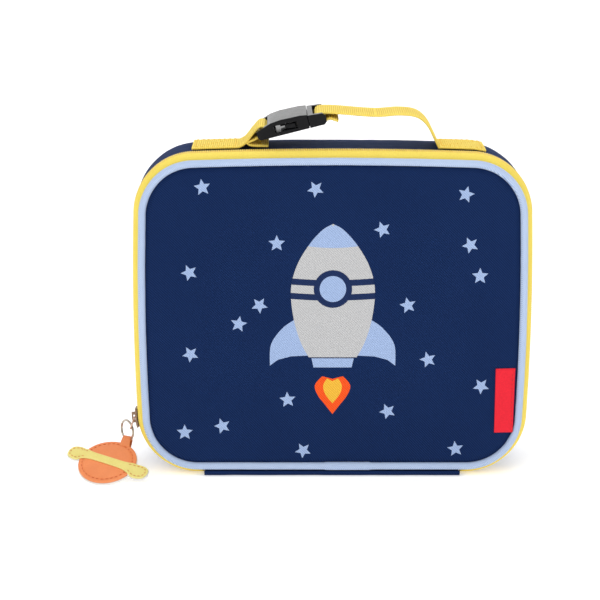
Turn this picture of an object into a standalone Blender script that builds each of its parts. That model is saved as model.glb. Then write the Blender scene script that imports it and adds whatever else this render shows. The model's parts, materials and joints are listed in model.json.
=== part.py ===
"""Kids' soft insulated lunch bag: a zip-round front lid on a padded body, a webbing
handle with a side-release buckle, and a ringed-planet zip charm.

Metres, +Z up, +X to the bag's right, +Y to its back. The origin is the centre of the
face the bag stands on.
"""
import math
import bmesh
import bpy
from mathutils import Matrix, Vector

MM = 0.001

# ---- driving dimensions -------------------------------------------------------------
BAG_WIDTH = 229 * MM            # over the zip, side to side
BAG_HEIGHT = 190 * MM           # floor to the top of the zip
BAG_DEPTH = 76 * MM             # front piping to back piping
CORNER_RADIUS = 36 * MM         # outside of the zip at each corner
SIDE_BOW = 1.2 * MM             # the soft sides bulge this far at mid height
TOP_BOW = 1.4 * MM              # and the top at mid width
GAP = 0.3 * MM                  # between neighbouring pieces that touch

CLOTH = 1.0 * MM                # outer fabric with its backing
FOAM = 5.0 * MM                 # insulation in the two large faces
WALL_FOAM = 3.4 * MM            # insulation in the gusset
LINING = 0.8 * MM
PIPING_DIA = 4.4 * MM
PIPING_INSET = 3.8 * MM         # zip's outer edge to the piping's outer edge
PANEL_RECESS = 1.0 * MM         # the panel's face behind the piping's front

COIL_WIDTH = 2.6 * MM           # each half of the zip's coil, front to back
COIL_HEIGHT = 3.0 * MM
COIL_GAP = 1.4 * MM             # between the halves, for the slider's neck
TAPE = 0.8 * MM
TAPE_FLAT = 4.4 * MM            # part of the lid's tape stitched behind the piping
TAPE_SLOPE = 3.7 * MM           # depth over which it slopes out to the coil

BASE_SHORT = 3.5 * MM            # zip ends stop this far inside the base's flat run
BASE_LIP_RISE = 3.0 * MM
DOME = 1.2 * MM                 # crown of the gusset over the zip's edge

STRAP_WIDTH = 25 * MM
SLOT_PLAY = 0.5 * MM                # room beside the strap in each buckle slot
STRAP_THICK = 1.6 * MM
LABEL_WIDTH = 11.5 * MM
LABEL_HEIGHT = 38.5 * MM
LABEL_DROP = 9 * MM              # label's lower edge below the corner arc's centre
STRAP_INSET = 1.9 * MM           # webbing's front edge behind the gusset's front edge
STRAP_EDGE_RISE = 1.0 * MM          # back edge of the handle strap above its middle
STRAP_TILT = STRAP_EDGE_RISE / (STRAP_WIDTH / 2)
SEAT_LEFT = -81 * MM            # outer end of the left strap
SEAT_RIGHT = 88 * MM            # outer end of the right strap
SEAT_LENGTH = 27 * MM           # stitched down length
HANDLE_RISE = 21 * MM           # handle's middle above the top of the bag

BUCKLE_LENGTH = 40.6 * MM
BUCKLE_RIM = 4.0 * MM            # moulding beyond each edge of the webbing
BUCKLE_WIDTH = STRAP_WIDTH + 2 * BUCKLE_RIM
BUCKLE_THICK = 8.4 * MM
BUCKLE_X = -24 * MM
BUCKLE_LIFT = 15.2 * MM         # buckle's centre above the top of the bag
BUCKLE_TILT = math.radians(13)
FEMALE_SHARE = 30.3 * MM        # length of the socket half
BAR_DIA = 3.4 * MM
PRONG_THICK = 2.6 * MM

SLIDER_ANGLE = math.radians(5)  # below level on the lower left corner
SLIDER_SPAN = math.radians(18)
SLIDER_WIDTH = 6.4 * MM
PLATE = 1.1 * MM
BRIDGE_WIRE = 0.9 * MM
BRIDGE_HOLE = 1.3 * MM
PULL_WIRE = 0.9 * MM
PULL_LENGTH = 7.5 * MM
PULL_WIDTH = 5.6 * MM
PULL_DROP = math.radians(70)     # below level
RING_RADIUS = 6.0 * MM           # middle of the wire
RING_WIRE = 1.3 * MM
RING_PLAY = 0.8 * MM             # between ring and pull
RING_ANGLE = math.radians(40)   # where the pull holds it
RING_TURN = math.radians(-50)
CHARM_RADIUS = 17.5 * MM
CHARM_THICK = 2.4 * MM
CHARM_TURN = math.radians(-10)
CHARM_LEAN = math.radians(25.6)
BAND_LENGTH = 54 * MM
BAND_TURN = math.radians(-18)
TAB_ACROSS = 7.0 * MM
TAB_UP = 20.4 * MM

# ---- derived ------------------------------------------------------------------------
FRONT = -BAG_DEPTH / 2
BACK = BAG_DEPTH / 2
HALF = BAG_WIDTH / 2
PIPE_R = PIPING_DIA / 2
PIPE_D = -(PIPING_INSET + PIPE_R)            # piping's middle, outward from the outline
PANEL_D = -(PIPING_INSET + PIPING_DIA + GAP)  # outline of the two large panels
PANEL_Y = FRONT + PANEL_RECESS
FOAM_Y = PANEL_Y + CLOTH + GAP
LINING_Y = FOAM_Y + FOAM + GAP
LID_BACK = LINING_Y + LINING
TAPE_Y = FRONT + PIPING_DIA + GAP
COIL_Y = TAPE_Y + TAPE_SLOPE + TAPE + GAP
CHAIN_Y = COIL_Y + COIL_WIDTH + COIL_GAP / 2   # middle of the closed zip
BODY_COIL_Y = COIL_Y + COIL_WIDTH + COIL_GAP
TAPE_D = -(COIL_HEIGHT / 2)
BODY_TAPE_Y = BODY_COIL_Y + COIL_WIDTH + GAP
WALL_Y = BODY_TAPE_Y + 1.2 * MM                # front edge of the gusset's cloth
BODY_TAPE_END = WALL_Y + 3.4 * MM
WALL_BACK = BACK - PIPING_DIA - GAP
RIM_D = -1.2 * MM
WALL_FOAM_Y = BODY_TAPE_END + GAP
WALL_FOAM_BACK = BACK - PANEL_RECESS - CLOTH - FOAM - LINING - 3 * GAP
WALL_IN_D = RIM_D - CLOTH - GAP - WALL_FOAM    # inner face of the gusset's foam
LINE_D = WALL_IN_D - GAP - LINING              # inner face of the lining
TOP = BAG_HEIGHT
CORNER_X = HALF - CORNER_RADIUS
BASE_HALF = CORNER_X - BASE_SHORT              # half the base panel's length
STRAP_Y = WALL_Y + STRAP_INSET + STRAP_WIDTH / 2  # middle of the handle, front to back
HINGE_Y = FRONT + PIPE_R
HINGE_Z = PIPE_R + 0.2 * MM


def clear_scene():
    for thing in list(bpy.data.objects):
        bpy.data.objects.remove(thing, do_unlink=True)


def material(name, colour, rough, metal=0.0):
    mat = bpy.data.materials.new(name)
    mat.use_nodes = True
    shader = mat.node_tree.nodes["Principled BSDF"]
    shader.inputs["Base Color"].default_value = (*colour, 1.0)
    shader.inputs["Roughness"].default_value = rough
    shader.inputs["Metallic"].default_value = metal
    mat.diffuse_color = (*colour, 1.0)
    return mat


def add_object(name, bm, mat, smooth=False):
    bmesh.ops.remove_doubles(bm, verts=bm.verts, dist=1e-7)
    bmesh.ops.recalc_face_normals(bm, faces=bm.faces)
    mesh = bpy.data.meshes.new(name)
    bm.to_mesh(mesh)
    bm.free()
    mesh.materials.append(mat)
    for poly in mesh.polygons:
        poly.use_smooth = smooth
    obj = bpy.data.objects.new(name, mesh)
    bpy.context.scene.collection.objects.link(obj)
    return obj


def set_origin(obj, point):
    """Move the object's origin to a world point without moving its mesh."""
    shift = Vector(point) - obj.location
    obj.data.transform(Matrix.Translation(-shift))
    obj.location = Vector(point)


# ---- the outline every ring-shaped piece follows --------------------------------------
def bowed(length, bow, count):
    """Offsets along a straight run that bulges by bow at its middle."""
    out = []
    for i in range(1, count):
        t = i / count
        out.append((t * length, bow * (1 - (2 * t - 1) ** 2)))
    return out


def outline(corner_steps=9, side_steps=6):
    """Closed path anticlockwise seen from the front: (x, z, normal x, normal z)."""
    r = CORNER_RADIUS
    runs = []
    corners = [
        (CORNER_X, r, -90),
        (CORNER_X, TOP - r, 0),
        (-CORNER_X, TOP - r, 90),
        (-CORNER_X, r, 180),
    ]
    bows = [SIDE_BOW, TOP_BOW, SIDE_BOW, 0.0]
    for (cx, cz, start), bow, nxt in zip(corners, bows, range(1, 5)):
        for i in range(corner_steps + 1):
            a = math.radians(start + 90 * i / corner_steps)
            runs.append((cx + r * math.cos(a), cz + r * math.sin(a), math.cos(a), math.sin(a)))
        end = runs[-1]
        ncx, ncz, nstart = corners[nxt % 4]
        a = math.radians(nstart)
        goal = (ncx + r * math.cos(a), ncz + r * math.sin(a))
        length = math.hypot(goal[0] - end[0], goal[1] - end[1])
        tx, tz = (goal[0] - end[0]) / length, (goal[1] - end[1]) / length
        nx, nz = end[2], end[3]
        for s, h in bowed(length, bow, side_steps):
            runs.append((end[0] + tx * s + nx * h, end[1] + tz * s + nz * h, nx, nz))
    return runs


def open_outline():
    """The outline without the run between the two zip ends on the base."""
    keep = [(BASE_HALF + GAP, 0.0, 0.0, -1.0)]
    for x, z, nx, nz in outline():
        if z < 1e-6 and abs(x) < CORNER_X - 1e-6:
            continue
        keep.append((x, z, nx, nz))
    keep.append((-BASE_HALF - GAP, 0.0, 0.0, -1.0))
    return keep


def crown(nz):
    """How much of the gusset's crown shows: none where the bag stands on it."""
    return 1.0 if nz >= 0 else 1.0 + nz


def sweep(name, mat, path, section, closed=True, smooth=False):
    """Sweep (y, outward offset) points round the outline; section may read the normal."""
    bm = bmesh.new()
    rings = []
    for x, z, nx, nz in path:
        pts = section(nz) if callable(section) else section
        rings.append([bm.verts.new((x + nx * d, y, z + nz * d)) for y, d in pts])
    count = len(rings)
    for i in range(count if closed else count - 1):
        a, b = rings[i], rings[(i + 1) % count]
        m = len(a)
        for j in range(m):
            k = (j + 1) % m
            bm.faces.new((a[j], a[k], b[k], b[j]))
    if not closed:
        bm.faces.new(rings[0])
        bm.faces.new(list(reversed(rings[-1])))
    return add_object(name, bm, mat, smooth)


def slab(name, mat, inset, y0, y1):
    """Panel filling the outline at an offset, from y0 to y1."""
    bm = bmesh.new()
    path = outline()
    lo = [bm.verts.new((x + nx * inset, y0, z + nz * inset)) for x, z, nx, nz in path]
    hi = [bm.verts.new((x + nx * inset, y1, z + nz * inset)) for x, z, nx, nz in path]
    bm.faces.new(lo)
    bm.faces.new(list(reversed(hi)))
    count = len(lo)
    for i in range(count):
        k = (i + 1) % count
        bm.faces.new((lo[i], hi[i], hi[k], lo[k]))
    return add_object(name, bm, mat)


def circle_section(y, d, radius, count=12):
    pts = []
    for i in range(count):
        a = 2 * math.pi * i / count
        pts.append((y + radius * math.cos(a), d + radius * math.sin(a)))
    return pts


def box_section(y0, y1, d0, d1):
    return [(y0, d0), (y1, d0), (y1, d1), (y0, d1)]


def rounded_section(y0, y1, d0, d1, r, steps=3):
    pts = []
    for cy, cd, start in ((y1 - r, d1 - r, 0), (y0 + r, d1 - r, 90),
                          (y0 + r, d0 + r, 180), (y1 - r, d0 + r, 270)):
        for i in range(steps + 1):
            a = math.radians(start + 90 * i / steps)
            pts.append((cy + r * math.cos(a), cd + r * math.sin(a)))
    return pts


def wall_profile(nz, lift=0.0):
    """Outer line of the gusset, front edge to back edge, as (y, offset)."""
    k = DOME * crown(nz)
    depth = WALL_BACK - WALL_Y
    return [
        (WALL_Y, RIM_D + lift),
        (WALL_Y + 0.12 * depth, RIM_D + 0.5 * MM + 0.4 * k + lift),
        (WALL_Y + 0.45 * depth, RIM_D + 1.1 * MM + k + lift),
        (WALL_Y + 0.70 * depth, RIM_D + 1.0 * MM + 0.8 * k + lift),
        (WALL_Y + 0.88 * depth, RIM_D + 0.2 * MM + 0.2 * k + lift),
        (WALL_Y + 0.96 * depth, RIM_D - 1.2 * MM + lift),
        (WALL_BACK, RIM_D - 3.0 * MM + lift),
    ]


def profile_at(nz, y):
    """Outward offset of the gusset's outer line at a depth."""
    pts = wall_profile(nz)
    for (ya, da), (yb, db) in zip(pts, pts[1:]):
        if ya <= y <= yb:
            return da + (db - da) * (y - ya) / (yb - ya)
    return pts[-1][1]


def top_z(x, y):
    """Height of the gusset's outer face above the floor, near the top, at x and y."""
    flat = max(0.0, abs(x) - CORNER_X)
    t = min(1.0, abs(x) / CORNER_X)
    arc = CORNER_RADIUS - math.sqrt(max(CORNER_RADIUS ** 2 - flat ** 2, 0.0))
    z = TOP + TOP_BOW * (1 - t * t) - arc
    return z + profile_at(1.0, y)


# ---- body -----------------------------------------------------------------------------
def build_body(mats):
    path = outline()
    part = open_outline()
    foam_lift = -(CLOTH + GAP)

    def wall(nz):
        outer = wall_profile(nz)
        inner = wall_profile(nz, -CLOTH)
        return outer + list(reversed(inner))

    def wall_foam(nz):
        inside = [(y, d) for y, d in wall_profile(nz, foam_lift)
                  if WALL_FOAM_Y < y < WALL_FOAM_BACK]
        edge = [(WALL_FOAM_Y, profile_at(nz, WALL_FOAM_Y) + foam_lift)]
        end = [(WALL_FOAM_BACK, profile_at(nz, WALL_FOAM_BACK) + foam_lift)]
        return edge + inside + end + [(WALL_FOAM_BACK, WALL_IN_D), (WALL_FOAM_Y, WALL_IN_D)]

    sweep("gusset_outer", mats["navy"], part, wall, closed=False)
    sweep("gusset_foam", mats["foam"], path, wall_foam)
    sweep("gusset_lining", mats["lining"], path,
          box_section(BODY_TAPE_Y, WALL_FOAM_BACK - GAP, LINE_D, WALL_IN_D - GAP))
    sweep("rim_binding", mats["lining"], path,
          box_section(WALL_Y, BODY_TAPE_END, WALL_IN_D + GAP / 2, RIM_D - CLOTH - TAPE - 3 * GAP))
    slab("back_panel", mats["navy"], PANEL_D, BACK - PANEL_RECESS - CLOTH, BACK - PANEL_RECESS)
    slab("back_foam", mats["foam"], PANEL_D, BACK - PANEL_RECESS - CLOTH - GAP - FOAM,
         BACK - PANEL_RECESS - CLOTH - GAP)
    back_lining = BACK - PANEL_RECESS - CLOTH - 2 * GAP - FOAM
    slab("back_lining", mats["lining"], LINE_D, back_lining - LINING, back_lining)
    sweep("piping_back", mats["piping"], path, circle_section(BACK - PIPE_R, PIPE_D, PIPE_R),
          smooth=True)
    sweep("zip_coil_body", mats["coil"], part,
          rounded_section(BODY_COIL_Y, BODY_COIL_Y + COIL_WIDTH, -COIL_HEIGHT, 0.0, 0.9 * MM),
          closed=False, smooth=True)
    sweep("zip_tape_body", mats["tape"], part,
          [(BODY_TAPE_Y, TAPE_D + TAPE / 2), (WALL_Y - 3 * GAP, TAPE_D + TAPE / 2),
           (WALL_Y - GAP, RIM_D - CLOTH - GAP), (BODY_TAPE_END, RIM_D - CLOTH - GAP),
           (BODY_TAPE_END, RIM_D - CLOTH - GAP - TAPE),
           (WALL_Y - 2 * GAP, RIM_D - CLOTH - GAP - TAPE), (BODY_TAPE_Y, TAPE_D - TAPE / 2)],
          closed=False)
    bottom_panel(mats)
    hinge_pad(mats)
    for side, name in ((-1, "zip_stop_left"), (1, "zip_stop_right")):
        zip_stop(mats, side, name)


def bottom_panel(mats):
    """Plain base strip: carries the fold the lid turns on and covers the zip's ends."""
    lip = FRONT + PIPE_R - 0.9 * MM
    outer = [
        (lip, BASE_LIP_RISE),
        (lip + 0.7 * MM, 1.0 * MM),
        (lip + 2.2 * MM, 0.0),
        (WALL_BACK - 2.0 * MM, 0.0),
        (WALL_BACK - 0.6 * MM, 0.8 * MM),
        (WALL_BACK, 3.0 * MM),
    ]
    inner = [
        (WALL_BACK - CLOTH, 3.0 * MM),
        (WALL_BACK - 1.5 * MM, 1.4 * MM),
        (WALL_BACK - 2.3 * MM, CLOTH),
        (lip + 2.6 * MM, CLOTH),
        (lip + 1.6 * MM, 1.6 * MM),
        (lip + CLOTH, BASE_LIP_RISE),
    ]
    extrude_x("bottom_panel", mats["navy"], outer + inner, -BASE_HALF, BASE_HALF)


def extrude_x(name, mat, pts, x0, x1):
    bm = bmesh.new()
    lo = [bm.verts.new((x0, y, z)) for y, z in pts]
    hi = [bm.verts.new((x1, y, z)) for y, z in pts]
    bm.faces.new(lo)
    bm.faces.new(list(reversed(hi)))
    count = len(pts)
    for i in range(count):
        k = (i + 1) % count
        bm.faces.new((lo[i], hi[i], hi[k], lo[k]))
    return add_object(name, bm, mat)


def hinge_pad(mats):
    """Padded floor between the base panel's fold and the gusset's lining."""
    y0 = LID_BACK + 2 * GAP
    y1 = WALL_Y - GAP
    z0 = CLOTH + GAP
    pts = [(y0, z0), (y1, z0), (y1, -LINE_D - LINING - GAP), (BODY_TAPE_Y - GAP, -LINE_D - LINING - GAP),
           (BODY_TAPE_Y - GAP, -LINE_D), (y0 + 1.5 * MM, -LINE_D), (y0, -LINE_D - 1.5 * MM)]
    extrude_x("hinge_pad", mats["lining"], pts, -BASE_HALF + GAP, BASE_HALF - GAP)


def zip_stop(mats, side, name):
    """Folded metal stop clamped over the body's half of the coil."""
    bm = bmesh.new()
    x0 = side * (BASE_HALF + 1.0 * MM)
    x1 = side * (BASE_HALF + 3.2 * MM)
    y0 = BODY_COIL_Y + COIL_WIDTH * 0.25
    y1 = BODY_COIL_Y + COIL_WIDTH * 0.75
    z0 = COIL_HEIGHT + GAP
    bmesh.ops.create_cube(bm, size=1.0)
    for v in bm.verts:
        v.co = Vector((
            x1 if (v.co.x > 0) == (side > 0) else x0,
            y1 if v.co.y > 0 else y0,
            z0 + 0.8 * MM if v.co.z > 0 else z0,
        ))
    add_object(name, bm, mats["bronze"])


# ---- lid ------------------------------------------------------------------------------
def build_lid(mats):
    path = outline()
    part = open_outline()
    pieces = [
        slab("front_panel", mats["navy"], PANEL_D, PANEL_Y, PANEL_Y + CLOTH),
        slab("front_foam", mats["foam"], PANEL_D, FOAM_Y, FOAM_Y + FOAM),
        slab("front_lining", mats["lining"], PANEL_D - 1.0 * MM, LINING_Y, LID_BACK),
        sweep("piping_front", mats["piping"], path, circle_section(FRONT + PIPE_R, PIPE_D, PIPE_R),
              smooth=True),
        sweep("zip_tape_lid", mats["tape"], part, lid_tape(), closed=False),
        sweep("zip_coil_lid", mats["coil"], part,
              rounded_section(COIL_Y, COIL_Y + COIL_WIDTH, -COIL_HEIGHT, 0.0, 0.9 * MM),
              closed=False, smooth=True),
        sweep("lid_binding", mats["lining"], path, lid_binding()),
        label_tag(mats),
    ]
    for obj in pieces:
        set_origin(obj, (0.0, HINGE_Y, HINGE_Z))


def lid_tape():
    """Flat behind the piping, then sloping out to the coil."""
    inner = PIPE_D - PIPE_R
    bend = inner + TAPE_FLAT
    top = TAPE_D + TAPE / 2
    return [
        (TAPE_Y, inner), (TAPE_Y, bend), (TAPE_Y + TAPE_SLOPE, top + 0.5 * MM),
        (COIL_Y - GAP, top), (COIL_Y - GAP, top - TAPE),
        (TAPE_Y + TAPE_SLOPE, top - TAPE + 0.2 * MM), (TAPE_Y + TAPE, bend - 0.4 * MM),
        (TAPE_Y + TAPE, inner),
    ]


def lid_binding():
    """Binding over the seam where the lid's layers meet the tape."""
    return box_section(TAPE_Y + TAPE + GAP, LID_BACK - GAP, PANEL_D + GAP, PANEL_D + 3.0 * MM)


def label_tag(mats):
    """Folded ribbon tag caught in the right-hand seam, its face flat on the panel."""
    bm = bmesh.new()
    z0 = CORNER_RADIUS - LABEL_DROP
    z1 = z0 + LABEL_HEIGHT
    right = HALF + PIPE_D - PIPE_R - 0.5 * MM
    left = right - LABEL_WIDTH
    lean = 0.6 * MM
    front = PANEL_Y - GAP - 0.6 * MM
    back = PANEL_Y - GAP
    corners = [(left, z0), (right - lean, z0), (right, z1), (left + 0.4 * lean, z1)]
    lo = [bm.verts.new((x, front, z)) for x, z in corners]
    hi = [bm.verts.new((x, back, z)) for x, z in corners]
    bm.faces.new(lo)
    bm.faces.new(list(reversed(hi)))
    for i in range(4):
        k = (i + 1) % 4
        bm.faces.new((lo[i], hi[i], hi[k], lo[k]))
    return add_object("label_tag", bm, mats["label"])


# ---- handle ---------------------------------------------------------------------------
def smooth_path(points, steps=4):
    """Rounded line through the points (Catmull-Rom)."""
    out = []
    pts = [points[0]] + list(points) + [points[-1]]
    for i in range(1, len(pts) - 2):
        p0, p1, p2, p3 = pts[i - 1], pts[i], pts[i + 1], pts[i + 2]
        for s in range(steps):
            t = s / steps
            out.append(tuple(
                0.5 * (2 * p1[k] + (p2[k] - p0[k]) * t
                       + (2 * p0[k] - 5 * p1[k] + 4 * p2[k] - p3[k]) * t * t
                       + (3 * p1[k] - p0[k] - 3 * p2[k] + p3[k]) * t ** 3)
                for k in (0, 1)))
    out.append(points[-1])
    return out


def ribbon(name, mat, line, width, thick, y_mid, tilt):
    """Webbing of a set width along Y whose middle follows a line in XZ."""
    bm = bmesh.new()
    rings = []
    count = len(line)
    for i, (x, z) in enumerate(line):
        a = line[max(i - 1, 0)]
        b = line[min(i + 1, count - 1)]
        tx, tz = b[0] - a[0], b[1] - a[1]
        size = math.hypot(tx, tz)
        nx, nz = -tz / size, tx / size
        ring = []
        for side, face in ((-1, -1), (1, -1), (1, 1), (-1, 1)):
            dy = side * width / 2
            ring.append(bm.verts.new((
                x + nx * face * thick / 2,
                y_mid + dy,
                z + nz * face * thick / 2 + tilt * dy)))
        rings.append(ring)
    for a, b in zip(rings, rings[1:]):
        for j in range(4):
            k = (j + 1) % 4
            bm.faces.new((a[j], a[k], b[k], b[j]))
    bm.faces.new(rings[0])
    bm.faces.new(list(reversed(rings[-1])))
    return add_object(name, bm, mat)


def buckle_point(u, v):
    """Buckle's own axes (along, through) to X and Z."""
    c, s = math.cos(BUCKLE_TILT), math.sin(BUCKLE_TILT)
    return BUCKLE_X + u * c - v * s, TOP + BUCKLE_LIFT + u * s + v * c


FEMALE_BAR_U = -BUCKLE_LENGTH / 2 + BAR_DIA / 2 + 1.2 * MM
MALE_BAR_U = BUCKLE_LENGTH / 2 - BAR_DIA / 2 - 1.2 * MM
WRAP = BAR_DIA / 2 + GAP + STRAP_THICK / 2


def wrap_bar(u, start, stop, steps=7):
    """Webbing's middle line round a buckle bar, angles in the buckle's own axes."""
    out = []
    for i in range(steps + 1):
        a = math.radians(start + (stop - start) * i / steps)
        out.append(buckle_point(u + WRAP * math.cos(a), WRAP * math.sin(a)))
    return out


def seat_line(x0, x1, count=5):
    """Middle line of webbing lying on the gusset between two X positions."""
    lift = STRAP_THICK / 2 + GAP
    out = []
    for i in range(count):
        x = x0 + (x1 - x0) * i / (count - 1)
        out.append((x, seat_height(x) + lift))
    return out


def seat_height(x):
    """Lowest height at which the tilted webbing clears the crowned gusset."""
    best = -1.0
    for i in range(11):
        dy = STRAP_WIDTH * (i / 10 - 0.5)
        best = max(best, top_z(x, STRAP_Y + dy) - STRAP_TILT * dy)
    return best


def left_line():
    seat = seat_line(SEAT_LEFT, SEAT_LEFT + SEAT_LENGTH)
    ex, ez = seat[-1]
    bar_top = wrap_bar(FEMALE_BAR_U, 128, -115)
    tx, tz = bar_top[0]
    rise = [seat[-1],
            (ex + 0.34 * (tx - ex), ez + 0.20 * (tz - ez)),
            (ex + 0.72 * (tx - ex), ez + 0.68 * (tz - ez)),
            bar_top[0]]
    bx, bz = bar_top[-1]
    tail = [bar_top[-1], (bx - 2.6 * MM, bz - 1.2 * MM), (bx - 5.2 * MM, bz - 2.2 * MM)]
    return seat[:-1] + smooth_path(rise, 3)[:-1] + bar_top[:-1] + smooth_path(tail, 2)


def right_line():
    seat = seat_line(SEAT_RIGHT, SEAT_RIGHT - SEAT_LENGTH)
    ex, ez = seat[-1]
    bar = wrap_bar(MALE_BAR_U, 78, 285)
    tx, tz = bar[0]
    peak = TOP + HANDLE_RISE
    arch = [seat[-1],
            (ex - 2.6 * MM, ez + 5.5 * MM),
            (ex - 6.8 * MM, ez + 13.0 * MM),
            (ex - 13.0 * MM, peak - 1.2 * MM),
            (ex - 23.0 * MM, peak),
            (ex - 37.0 * MM, peak - 0.8 * MM),
            (tx + 8.0 * MM, peak + 0.9 * MM),
            bar[0]]
    bx, bz = bar[-1]
    tail = [bar[-1], (bx + 4.0 * MM, bz + 1.9 * MM), (bx + 8.8 * MM, peak - STRAP_THICK - 2.2 * MM)]
    return seat[:-1] + smooth_path(arch, 4)[:-1] + bar[:-1] + smooth_path(tail, 2)


def build_handle(mats):
    ribbon("strap_left", mats["webbing"], left_line(), STRAP_WIDTH, STRAP_THICK, STRAP_Y, STRAP_TILT)
    ribbon("strap_right", mats["webbing"], right_line(), STRAP_WIDTH, STRAP_THICK, STRAP_Y,
           STRAP_TILT)
    buckle_female(mats)
    buckle_male(mats)


def local_box(bm, u0, u1, w0, w1, v0, v1):
    made = bmesh.ops.create_cube(bm, size=1.0)["verts"]
    for v in made:
        v.co = Vector((
            u1 if v.co.x > 0 else u0,
            w1 if v.co.y > 0 else w0,
            v1 if v.co.z > 0 else v0,
        ))
    return made


def tool(name, maker):
    bm = bmesh.new()
    maker(bm)
    bmesh.ops.recalc_face_normals(bm, faces=bm.faces)
    mesh = bpy.data.meshes.new(name)
    bm.to_mesh(mesh)
    bm.free()
    obj = bpy.data.objects.new(name, mesh)
    bpy.context.scene.collection.objects.link(obj)
    return obj


def combine(base, other, how):
    """Apply one Boolean now and drop the tool."""
    mod = base.modifiers.new(how, "BOOLEAN")
    mod.operation = how
    mod.object = other
    mod.solver = "EXACT"
    deps = bpy.context.evaluated_depsgraph_get()
    deps.update()
    result = bpy.data.meshes.new_from_object(base.evaluated_get(deps))
    base.modifiers.clear()
    old = base.data
    base.data = result
    bpy.data.meshes.remove(old)
    bpy.data.objects.remove(other, do_unlink=True)


def profile_prism(bm, pts, w0, w1):
    """Extrude (u, v) points across the buckle's width."""
    lo = [bm.verts.new((u, w0, v)) for u, v in pts]
    hi = [bm.verts.new((u, w1, v)) for u, v in pts]
    bm.faces.new(lo)
    bm.faces.new(list(reversed(hi)))
    count = len(pts)
    for i in range(count):
        k = (i + 1) % count
        bm.faces.new((lo[i], hi[i], hi[k], lo[k]))


def place_buckle_piece(obj, mat):
    """Turn a piece built in the buckle's axes into the world and finish it."""
    cx, cz = buckle_point(0.0, 0.0)
    turn = Matrix.Rotation(-BUCKLE_TILT, 4, "Y")
    roll = Matrix.Rotation(math.atan(STRAP_TILT), 4, "X")
    obj.data.transform(Matrix.Translation((cx, STRAP_Y, cz)) @ turn @ roll)
    bm = bmesh.new()
    bm.from_mesh(obj.data)
    bmesh.ops.remove_doubles(bm, verts=bm.verts, dist=1e-6)
    bmesh.ops.recalc_face_normals(bm, faces=bm.faces)
    bm.to_mesh(obj.data)
    bm.free()
    obj.data.materials.clear()
    obj.data.materials.append(mat)
    for poly in obj.data.polygons:
        poly.use_smooth = False
        poly.material_index = 0
    set_origin(obj, (cx, STRAP_Y, cz))


def buckle_female(mats):
    half_l = BUCKLE_LENGTH / 2
    split = -half_l + FEMALE_SHARE
    half_t = BUCKLE_THICK / 2
    half_w = BUCKLE_WIDTH / 2
    low = -half_t
    shell = [
        (-half_l, low + 1.6 * MM), (-half_l + 1.4 * MM, low), (split - 1.5 * MM, low + 0.6 * MM),
        (split, low + 0.6 * MM), (split, half_t), (split - 4 * MM, half_t + 0.6 * MM),
        (-half_l + 15 * MM, half_t + 0.7 * MM), (-half_l + 9 * MM, half_t),
        (-half_l + 4.5 * MM, half_t - 1.6 * MM), (-half_l, half_t - 3.2 * MM),
    ]
    body = tool("buckle_female", lambda bm: profile_prism(bm, shell, -half_w, half_w))
    bar_u = FEMALE_BAR_U
    slot_end = bar_u + WRAP + STRAP_THICK / 2 + 0.5 * MM
    strap_w = STRAP_WIDTH / 2 + SLOT_PLAY
    combine(body, tool("cut_slot", lambda bm: local_box(
        bm, -half_l - 1 * MM, slot_end, -strap_w, strap_w, -half_t - 2 * MM, half_t + 3 * MM)),
        "DIFFERENCE")
    combine(body, tool("bar", lambda bm: round_bar(bm, bar_u, strap_w + 1.0 * MM)), "UNION")
    cave = half_t - 1.5 * MM
    combine(body, tool("cut_cavity", lambda bm: local_box(
        bm, slot_end + 1.4 * MM, split + 1 * MM, -half_w + 1.6 * MM, half_w - 1.6 * MM,
        -cave + 0.5 * MM, cave)), "DIFFERENCE")
    window = (slot_end + 3.2 * MM, split - 6.5 * MM)
    combine(body, tool("cut_window", lambda bm: local_box(
        bm, window[0], window[1], -half_w - 1 * MM, half_w + 1 * MM, -cave + 0.9 * MM,
        cave - 0.5 * MM)), "DIFFERENCE")
    place_buckle_piece(body, mats["buckle"])


def round_bar(bm, u, half_w, count=16):
    lo = []
    hi = []
    for i in range(count):
        a = 2 * math.pi * i / count
        lo.append(bm.verts.new((u + BAR_DIA / 2 * math.cos(a), -half_w, BAR_DIA / 2 * math.sin(a))))
        hi.append(bm.verts.new((u + BAR_DIA / 2 * math.cos(a), half_w, BAR_DIA / 2 * math.sin(a))))
    bm.faces.new(lo)
    bm.faces.new(list(reversed(hi)))
    for i in range(count):
        k = (i + 1) % count
        bm.faces.new((lo[i], hi[i], hi[k], lo[k]))


def buckle_male(mats):
    half_l = BUCKLE_LENGTH / 2
    split = -half_l + FEMALE_SHARE + GAP
    half_t = BUCKLE_THICK / 2
    half_w = BUCKLE_WIDTH / 2
    shell = [
        (split, -half_t + 0.6 * MM), (half_l - 1.5 * MM, -half_t + 0.8 * MM),
        (half_l, -half_t + 2.2 * MM), (half_l, half_t - 2.6 * MM),
        (half_l - 1.6 * MM, half_t - 1.0 * MM), (split, half_t - 0.4 * MM),
    ]
    body = tool("buckle_male", lambda bm: profile_prism(bm, shell, -half_w, half_w))
    bar_u = MALE_BAR_U
    slot_start = bar_u - WRAP - STRAP_THICK / 2 - 0.5 * MM
    strap_w = STRAP_WIDTH / 2 + SLOT_PLAY
    combine(body, tool("cut_slot", lambda bm: local_box(
        bm, slot_start, half_l + 1 * MM, -strap_w, strap_w, -half_t - 2 * MM, half_t + 2 * MM)),
        "DIFFERENCE")
    combine(body, tool("bar", lambda bm: round_bar(bm, bar_u, strap_w + 1.0 * MM)), "UNION")
    reach = split - 17 * MM
    combine(body, tool("guide", lambda bm: local_box(
        bm, reach, split + 1 * MM, -3.0 * MM, 3.0 * MM, -1.2 * MM, 1.2 * MM)), "UNION")
    place_buckle_piece(body, mats["buckle"])
    for side, name in ((-1, "prong_front"), (1, "prong_back")):
        prong(mats, side, name, split)


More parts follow.
